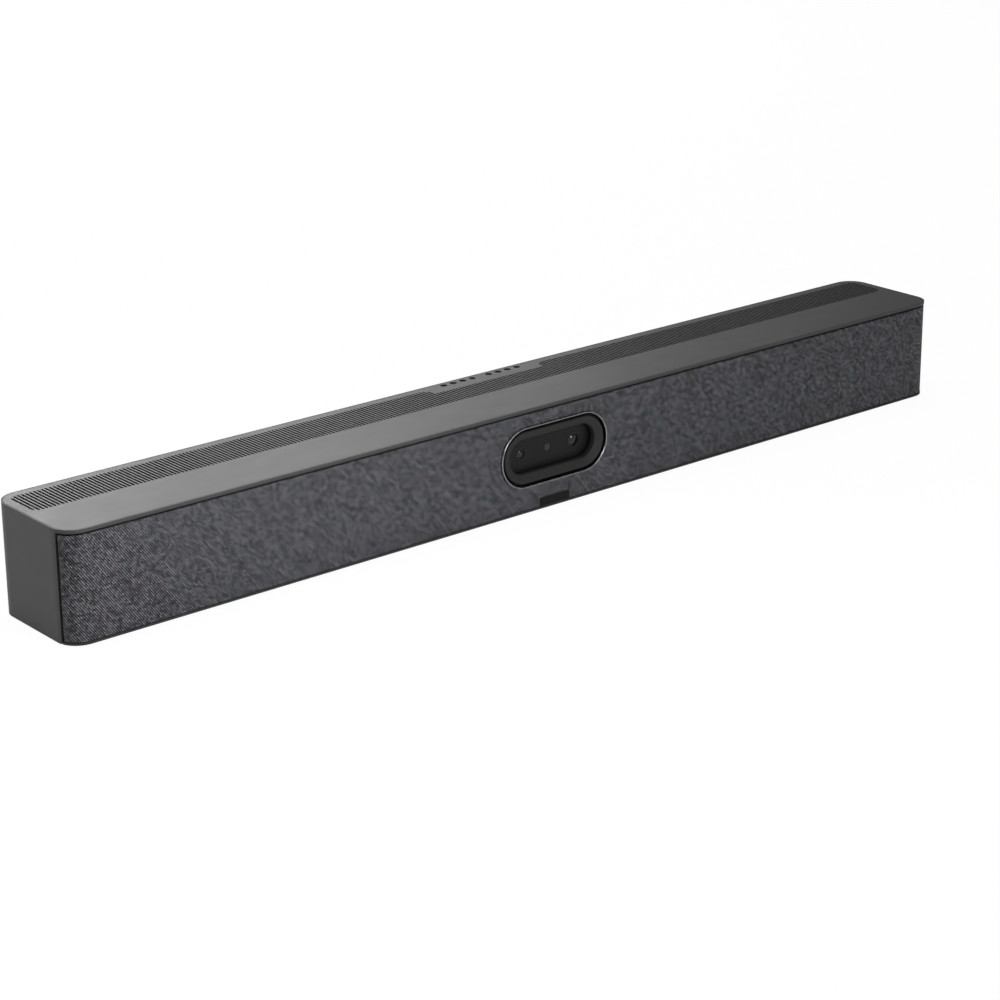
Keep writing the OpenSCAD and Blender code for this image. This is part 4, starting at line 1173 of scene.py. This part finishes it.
@dataclass
class Eyes:
    """The rings round the two cameras and the light sensor, and the sensor's dome.

    Each ring has its name, its place along the bar, and its inner and outer radius.
    """

    rings: tuple[tuple[str, float, float, float], ...] = (
        ("wide_eye_ring", -EYE_PITCH, 3.68 * MM, 4.9 * MM),
        ("sensor_eye_ring", 0.0, 2.68 * MM, 3.3 * MM),
        ("tele_eye_ring", EYE_PITCH, 5.18 * MM, 6.1 * MM),
    )
    panel: float = FRONT + 7.9 * MM
    ring_height: float = 0.16 * MM
    chamfer: float = 0.07 * MM
    sides: int = 64
    dome_seat: float = FRONT + 8.1 * MM
    dome_radius: float = 1.7 * MM
    dome_height: float = 0.45 * MM

    def build(self) -> None:
        """Builds the rings and the dome."""
        made = [self.ring(*ring) for ring in self.rings]
        Paint(
            grey(0.007, 0.0005), roughness=0.3, fineness=3800.0, depth=0.01 * MM,
            edge=0.08 * MM, rubbed_and_lit=0.8, specular=0.3,
        ).dress("eye ring", *made)
        glass = LensGlass(0.0, self.dome_radius, pupil=0.5, tint=grey(0.006, 0.001), slope=0.32)
        glass.dress("sensor dome", self.dome())

    def ring(self, name: str, x: float, inner: float, outer: float) -> bpy.types.Object:
        """Builds one chamfered ring on the panel.

        Args:
            name: the piece's name.
            x: its place along the bar.
            inner: its inner radius.
            outer: its outer radius.

        Returns:
            The ring.
        """
        piece = begin(
            bpy.ops.mesh.primitive_cylinder_add, vertices=self.sides, radius=outer,
            depth=2.0 * self.ring_height, location=(x, self.panel, WINDOW_UP),
            rotation=(QUARTER, 0, 0),
        )
        pick("FACE", lambda face: abs(face.normal.y) > 0.9)
        bpy.ops.mesh.inset(thickness=outer - inner, use_individual=True)
        pick("FACE", lambda face: len(face.verts) == self.sides)
        bpy.ops.mesh.bridge_edge_loops()
        bpy.ops.mesh.select_all(action="SELECT")
        bpy.ops.mesh.normals_make_consistent(inside=False)
        modify(piece, "BEVEL", width=self.chamfer, segments=2, limit_method="ANGLE")
        return rides(settle(name, 50.0))

    def dome(self) -> bpy.types.Object:
        """Builds the sensor's low dome.

        Returns:
            The dome.
        """
        seat = (0, self.dome_seat, WINDOW_UP)
        begin(
            bpy.ops.mesh.primitive_uv_sphere_add, segments=48, ring_count=24,
            radius=self.dome_radius, location=seat, rotation=(QUARTER, 0, 0),
        )
        bpy.ops.mesh.bisect(plane_co=seat, plane_no=(0, 1, 0), clear_outer=True, use_fill=True)
        bpy.ops.mesh.select_all(action="SELECT")
        flatness = self.dome_height / self.dome_radius
        bpy.ops.transform.resize(value=(1.0, flatness, 1.0), center_override=seat)
        return rides(settle("sensor_dome", 40.0))


@dataclass(frozen=True)
class BladeRow:
    """Equal contact blades in the sockets of one kind.

    The first blade's middle is given along the bar, inward from the mouth and above the
    main board. The drop is how far a blade's inner end hangs lower.
    """

    name: str
    socket: str
    size: Point
    first: Point
    pitch: float
    count: int
    ports: int = 1
    port_pitch: float = 0.0
    drop: float = 0.0
    rounding: float = 0.3

    def build(self, mouth: float) -> bpy.types.Object:
        """Builds the row.

        Args:
            mouth: the place of the sockets' mouths along the depth.

        Returns:
            The blades as one piece.
        """
        x, inward, up = self.first
        middle = (x, mouth - inward, MAIN_BOARD + up)
        begin(bpy.ops.mesh.primitive_cube_add, self.size, size=1.0, location=middle)
        pick("VERT", lambda point: point.co.y < middle[1])
        bpy.ops.transform.translate(value=(0, 0, -self.drop))
        bpy.ops.mesh.select_mode(type="EDGE")
        bpy.ops.mesh.select_all(action="SELECT")
        bpy.ops.mesh.bevel(offset=min(self.size[0], self.size[2]) * self.rounding, segments=2)
        shifts = [port * self.port_pitch + blade * self.pitch
                  for port in range(self.ports) for blade in range(self.count)]
        return rides(copies(settle("blade"), shifts, self.name))


@dataclass
class Contacts:
    """The gilt contact blades and the metal ring inside the rear sockets."""

    mouth: float = FRONT + 72.1 * MM
    rows: tuple[BladeRow, ...] = (
        BladeRow(
            "network_contacts", "ethernet_jack", (0.36 * MM, 7.5 * MM, 0.3 * MM),
            (52.43 * MM, 7.0 * MM, 9.6 * MM), 1.02 * MM, 8, drop=1.3 * MM,
        ),
        BladeRow(
            "data_contacts", "usb_ports", (1.0 * MM, 7.2 * MM, 0.16 * MM),
            (11.0 * MM, 5.4 * MM, 3.28 * MM), 2.0 * MM, 4, 2, 18.0 * MM,
        ),
        BladeRow(
            "video_contacts", "hdmi_ports", (0.45 * MM, 5.6 * MM, 0.1 * MM),
            (-36.5 * MM, 4.6 * MM, 3.46 * MM), 1.0 * MM, 10, 2, 22.0 * MM,
        ),
    )
    ring_x: float = -52.0 * MM
    ring_up: float = MAIN_BOARD + 3.0 * MM
    ring_radius: float = 2.2 * MM
    ring_wire: float = 0.34 * MM
    ring_flatness: float = 0.6

    def build(self) -> None:
        """Builds every row of contacts and the ring."""
        made = [row.build(self.mouth) for row in self.rows]
        Metal((0.72, 0.5, 0.18), roughness=0.22, edge=0.05 * MM).dress("gilt", *made)
        Metal(grey(0.5, -0.01), roughness=0.25, edge=0.06 * MM).dress("socket ring", self.ring())

    def ring(self) -> bpy.types.Object:
        """Builds the metal ring in the mouth of the audio socket.

        Returns:
            The ring.
        """
        middle = (self.ring_x, self.mouth, self.ring_up)
        begin(
            bpy.ops.mesh.primitive_torus_add, major_segments=48, minor_segments=12,
            major_radius=self.ring_radius, minor_radius=self.ring_wire,
            location=middle, rotation=(QUARTER, 0, 0),
        )
        flat = (1.0, self.ring_flatness, 1.0)
        bpy.ops.transform.resize(value=flat, center_override=middle)
        return rides(settle("audio_ring", 60.0))


@dataclass
class Shell:
    """The painted housing, cover and bottom plate."""

    colour: Colour = grey(0.062)

    def dress(self) -> None:
        """Gives the shell's nodes their finishes."""
        Paint(
            self.colour, roughness=0.40, spread=0.06, depth=0.03 * MM, edge=0.18 * MM,
            rubbed_and_lit=0.9, painted_shade=ShadedPart.INSIDE,
        ).dress("housing paint", "housing")
        Paint(
            self.colour, roughness=0.38, spread=0.05, depth=0.03 * MM, edge=0.06 * MM,
            rubbed_and_lit=0.3, painted_shade=ShadedPart.BELOW_TOP,
        ).dress("cover paint", "top_cover")
        Paint(
            grey(0.05, 0.002), roughness=0.5, fineness=3000.0, edge=0.2 * MM, rubbed_and_lit=0.3,
            specular=0.4,
        ).dress("frame plastic", "grille_frame")
        Paint(grey(0.03, 0.001), roughness=0.5).dress("bottom paint", "bottom_plate")


@dataclass
class Window:
    """The trim ring, bezel, panel and lenses of the camera window."""

    wide_radius: float = 2.95 * MM
    tele_radius: float = 4.45 * MM

    def dress(self) -> None:
        """Gives the window's nodes their finishes."""
        Metal(
            grey(0.42, 0.01), roughness=0.26, stretch=(0.2, 1.0, 0.2), painted_shade=ShadedPart.GROOVE,
        ).dress("trim metal", "trim_ring")
        Paint(
            grey(0.030, 0.001), roughness=0.55, fineness=3200.0, edge=0.4 * MM, rubbed_and_lit=0.3,
            specular=0.35, painted_shade=ShadedPart.GROOVE,
        ).dress("bezel plastic", "window_bezel")
        Paint(
            grey(0.009, 0.0005), roughness=0.42, fineness=3600.0, depth=0.01 * MM,
            edge=0.1 * MM, rubbed_and_lit=0.3, specular=0.25,
        ).dress("panel plastic", "lens_panel")
        Paint(
            grey(0.006), roughness=0.4, edge=0.15 * MM,
        ).dress("barrel black", "wide_lens", "tele_lens", "shutter_plate")
        Paint(
            grey(0.008, 0.001), roughness=0.12, spread=0.04, depth=0.005 * MM, edge=0.1 * MM,
            rubbed_and_lit=0.2, coat=0.6,
        ).dress("gloss black", "light_sensor")
        Paint(
            grey(0.0025), roughness=0.32, depth=0.006 * MM, edge=0.15 * MM, rubbed_and_lit=0.6,
            specular=0.25,
        ).dress("tab gloss", "name_tab")
        LensGlass(-EYE_PITCH, self.wide_radius).dress("wide glass", "wide_glass")
        tele = LensGlass(EYE_PITCH, self.tele_radius, pupil=0.38, tint=(0.004, 0.005, 0.010))
        tele.dress("tele glass", "tele_glass")


@dataclass
class Innards:
    """The finishes of what lies inside and behind the bar."""

    main_face: float = MAIN_BOARD + 0.05 * MM
    camera_face: float = FRONT + 29.65 * MM
    image_face: float = FRONT + 23.25 * MM
    mic_face: float = UNDERSIDE + 71.15 * MM

    def dress(self) -> None:
        """Gives the inner and rear nodes their finishes."""
        self.dress_plastic()
        self.dress_metal()
        self.dress_boards()

    def dress_plastic(self) -> None:
        """Dresses mouldings, rubber, paper and wire."""
        Paint(
            grey(0.018, 0.001), roughness=0.5, fineness=1700.0, depth=0.06 * MM, rubbed_and_lit=0.3,
        ).dress("moulded black", "front_baffle", "port_panel", "left_speaker_box",
                "right_speaker_box")
        Paint(
            grey(0.008), roughness=0.35, fineness=2600.0, rubbed_and_lit=0.4,
        ).dress("socket black", "power_jack", "audio_jack", "reset_button")
        Paint(
            grey(0.02), roughness=0.3, fineness=2000.0, rubbed_and_lit=0.6,
        ).dress("basket black", "left_basket", "right_basket")
        Paint(
            grey(0.011), roughness=0.72, fineness=1300.0, depth=0.08 * MM, rubbed_and_lit=0.1,
        ).dress("soft rubber", "rubber_feet", "mic_gasket", "left_surround", "right_surround")
        Paint(
            grey(0.013, 0.001), roughness=0.65, fineness=900.0, depth=0.1 * MM, rubbed_and_lit=0.1,
        ).dress("cone paper", "left_cone", "right_cone")
        Paint(
            (0.28, 0.018, 0.016), roughness=0.4, fineness=1500.0, rubbed_and_lit=0.1,
        ).dress("lead insulation", "speaker_leads")
        Paint(
            (0.62, 0.6, 0.5), roughness=0.38, fineness=2400.0, rubbed_and_lit=0.1,
        ).dress("gear plastic", "shutter_pinion")

    def dress_metal(self) -> None:
        """Dresses screws, sockets, fins, bracket, motor, magnets and inserts."""
        screws = ("bottom", "baffle", "camera", "board", "driver", "speaker_box", "port_panel")
        steel = Metal(grey(0.52, -0.01), roughness=0.28)
        steel.dress("screw steel", *(f"{kind}_screws" for kind in screws))
        Metal(
            grey(0.58, -0.01), roughness=0.24, stretch=(0.15, 1.0, 1.0), painted_shade=ShadedPart.SOCKET,
        ).dress("tinned shell", "ethernet_jack", "hdmi_ports", "usb_ports")
        fins = Metal(grey(0.42, 0.01), roughness=0.42, stretch=(1.0, 1.0, 0.1))
        fins.dress("extruded fins", "heat_sink")
        Metal(grey(0.4, 0.01), roughness=0.5).dress("cast metal", "camera_bracket")
        can = Metal(grey(0.5), stretch=(1.0, 0.1, 1.0))
        can.dress("steel can", "shutter_motor", "left_magnet", "right_magnet")
        Threaded().dress("insert brass", "bracket_inserts")

    def dress_boards(self) -> None:
        """Dresses circuit boards, flat cables and antennas."""
        flat = Board(2, self.main_face)
        flat.dress("flat board", "main_board", "power_board", "audio_board")
        Board(1, self.camera_face).dress("camera board", "camera_board")
        Board(1, self.image_face).dress("image board", "image_boards")
        Board(2, self.mic_face, upward=False).dress("microphone board", "mic_board")
        amber = Ribbon((0.42, 0.16, 0.03), (0.5, 0.26, 0.08), 0, 0.8 * MM)
        amber.dress("amber cable", "camera_flex", "mic_flex")
        pale = Ribbon((0.6, 0.58, 0.5), (0.75, 0.73, 0.66), 1, 1.0 * MM)
        pale.dress("pale cable", "board_links")
        foil = Ribbon((0.5, 0.3, 0.08), (0.75, 0.55, 0.25), 0, 4.0 * MM)
        foil.dress("antenna foil", "wifi_antennas")


@dataclass(frozen=True)
class SoftBox:
    """One rectangular lamp: where it hangs, what it points at, its size and its power."""

    name: str
    place: Point
    target: Point
    width: float
    height: float
    power: float

    def hang(self) -> None:
        """Hangs the lamp."""
        light = bpy.data.lights.new(self.name, "AREA")
        light.shape = "RECTANGLE"
        light.size, light.size_y, light.energy = self.width, self.height, self.power
        hung = bpy.data.objects.new(self.name, light)
        hung.location = self.place
        aim = Vector(self.target) - Vector(self.place)
        hung.rotation_euler = aim.to_track_quat("-Z", "Y").to_euler()
        hung.visible_camera = False
        bpy.context.collection.objects.link(hung)


@dataclass
class Studio:
    """The floor, the white surround and the soft boxes."""

    floor_size: float = 14.0
    floor_gap: float = 0.2 * MM
    floor_colour: Colour = grey(0.8)
    floor_glow: float = 0.9
    floor_white: float = 1.06
    ambient: float = 0.2
    mirrored: float = 0.22
    boxes: tuple[SoftBox, ...] = (
        SoftBox("overhead", (-0.3, 0.3, 2.6), (0.0, 0.0, 0.04), 1.5, 1.5, 20.0),
        SoftBox("front", (-0.12, -0.9, 0.6), (-0.2, -0.04, 0.04), 0.5, 0.4, 0.9),
        SoftBox("near front", (-0.28, -0.43, 0.26), (-0.31, -0.04, 0.04), 0.22, 0.18, 0.75),
        SoftBox("low front", (0.53, -1.35, 0.13), (0.0, -0.04, 0.04), 0.2, 0.2, 1.7),
        SoftBox("left side", (-0.70, 0.30, 0.38), (-0.39, 0.02, 0.06), 0.2, 0.2, 0.45),
        SoftBox("rear far left", (0.742, 2.283, 0.85), (0.0, 0.0, 0.04), 0.45, 1.0, 5.8),
        SoftBox("rear left", (1.164, 2.099, 0.85), (0.0, 0.0, 0.04), 0.45, 1.0, 2.9),
        SoftBox("rear middle", (1.478, 1.891, 0.85), (0.0, 0.0, 0.04), 0.45, 1.0, 1.6),
        SoftBox("rear right", (1.755, 1.637, 0.85), (0.0, 0.0, 0.04), 0.45, 1.0, 0.4),
    )

    def build(self) -> None:
        """Builds the floor, the surround and the lamps."""
        self.floor()
        self.surround()
        for box in self.boxes:
            box.hang()

    def floor(self) -> None:
        """Lays a pale floor that keeps the object's shadow."""
        deselect()
        bpy.ops.mesh.primitive_plane_add(size=self.floor_size, location=(0, 0, -self.floor_gap))
        floor = bpy.context.object
        floor.name = "floor"
        made, wires = blank("pale floor")
        matt = wires.fed("ShaderNodeBsdfDiffuse", [self.floor_colour])
        glow = wires.node("ShaderNodeEmission")
        glow.inputs["Strength"].default_value = self.floor_white
        seen = self.seen(wires, self.floor_glow)
        blend = wires.fed("ShaderNodeMixShader", [seen, matt.outputs[0], glow.outputs[0]])
        wires.fed("ShaderNodeOutputMaterial", [blend.outputs[0]])
        floor.data.materials.append(made)

    def seen(self, wires: Wiring, looked_at: float) -> Socket:
        """Tells the rays that show the background.

        Args:
            wires: the tree's wiring.
            looked_at: the value for camera rays.

        Returns:
            The value for the ray: less for glossy and transmission rays, 0 for all others.
        """
        path = wires.node("ShaderNodeLightPath").outputs
        sharp = wires.sum("MAXIMUM", path["Is Glossy Ray"], path["Is Transmission Ray"])
        direct = wires.times(path["Is Camera Ray"], looked_at)
        return wires.sum("MAXIMUM", direct, wires.times(sharp, self.mirrored))

    def surround(self) -> None:
        """Makes the surround white to look at and plain to light with."""
        world = bpy.data.worlds.new("surround")
        bpy.context.scene.world = world
        world.use_nodes = True
        world.node_tree.nodes.clear()
        wires = Wiring(world.node_tree)
        back = wires.node("ShaderNodeBackground")
        path = wires.node("ShaderNodeLightPath").outputs
        soft = wires.times(path["Is Diffuse Ray"], self.ambient)
        wires.feed(back.inputs["Strength"], wires.plus(soft, self.seen(wires, 1.0)))
        wires.fed("ShaderNodeOutputWorld", [back.outputs[0]])


@dataclass
class ViewPoint:
    """The camera, where the photograph was taken from.

    The turns are in degrees, the focal length, the centre and the picture in pixels.
    """

    place: Point = (-1.1291, -1.3298, 0.6277)
    yaw: float = 39.26
    pitch: float = 18.66
    roll: float = 0.6417127
    focal: float = 2600.78
    centre: tuple[float, float] = (469.0, 439.57)
    picture: float = 1000.0
    sensor: float = 36.0

    def build(self) -> None:
        """Makes the scene's camera."""
        yaw, pitch, roll = (math.radians(turn) for turn in (self.yaw, self.pitch, self.roll))
        level = math.cos(pitch)
        ahead = Vector((math.sin(yaw) * level, math.cos(yaw) * level, -math.sin(pitch)))
        right = Vector((math.cos(yaw), -math.sin(yaw), 0.0))
        down = -right.cross(ahead)
        across = math.cos(roll) * right + math.sin(roll) * down
        below = -math.sin(roll) * right + math.cos(roll) * down
        turned = Matrix((across, -below, -ahead)).transposed().to_4x4()
        lens = bpy.data.cameras.new("view")
        lens.sensor_width = self.sensor
        lens.lens = self.focal / self.picture * self.sensor
        lens.shift_x = (self.picture / 2 - self.centre[0]) / self.picture
        lens.shift_y = (self.centre[1] - self.picture / 2) / self.picture
        lens.clip_start, lens.clip_end = 0.01, 50.0
        camera = bpy.data.objects.new("view", lens)
        camera.matrix_world = Matrix.Translation(self.place) @ turned
        bpy.context.collection.objects.link(camera)
        bpy.context.scene.camera = camera


def main() -> None:
    """Builds the camera, the pieces, the finishes and the studio in order."""
    logging.basicConfig(level=logging.INFO, format="%(name)s: %(message)s")
    ViewPoint().build()
    for made in (FrontCloth(), Eyes(), Contacts()):
        made.build()
    for dressed in (Shell(), Window(), Innards()):
        dressed.dress()
        LOG.info("%s dressed", type(dressed).__name__)
    Studio().build()
    bpy.context.scene.view_settings.view_transform = "Standard"
    LOG.info("sizes written")


if __name__ == "__main__":
    main()
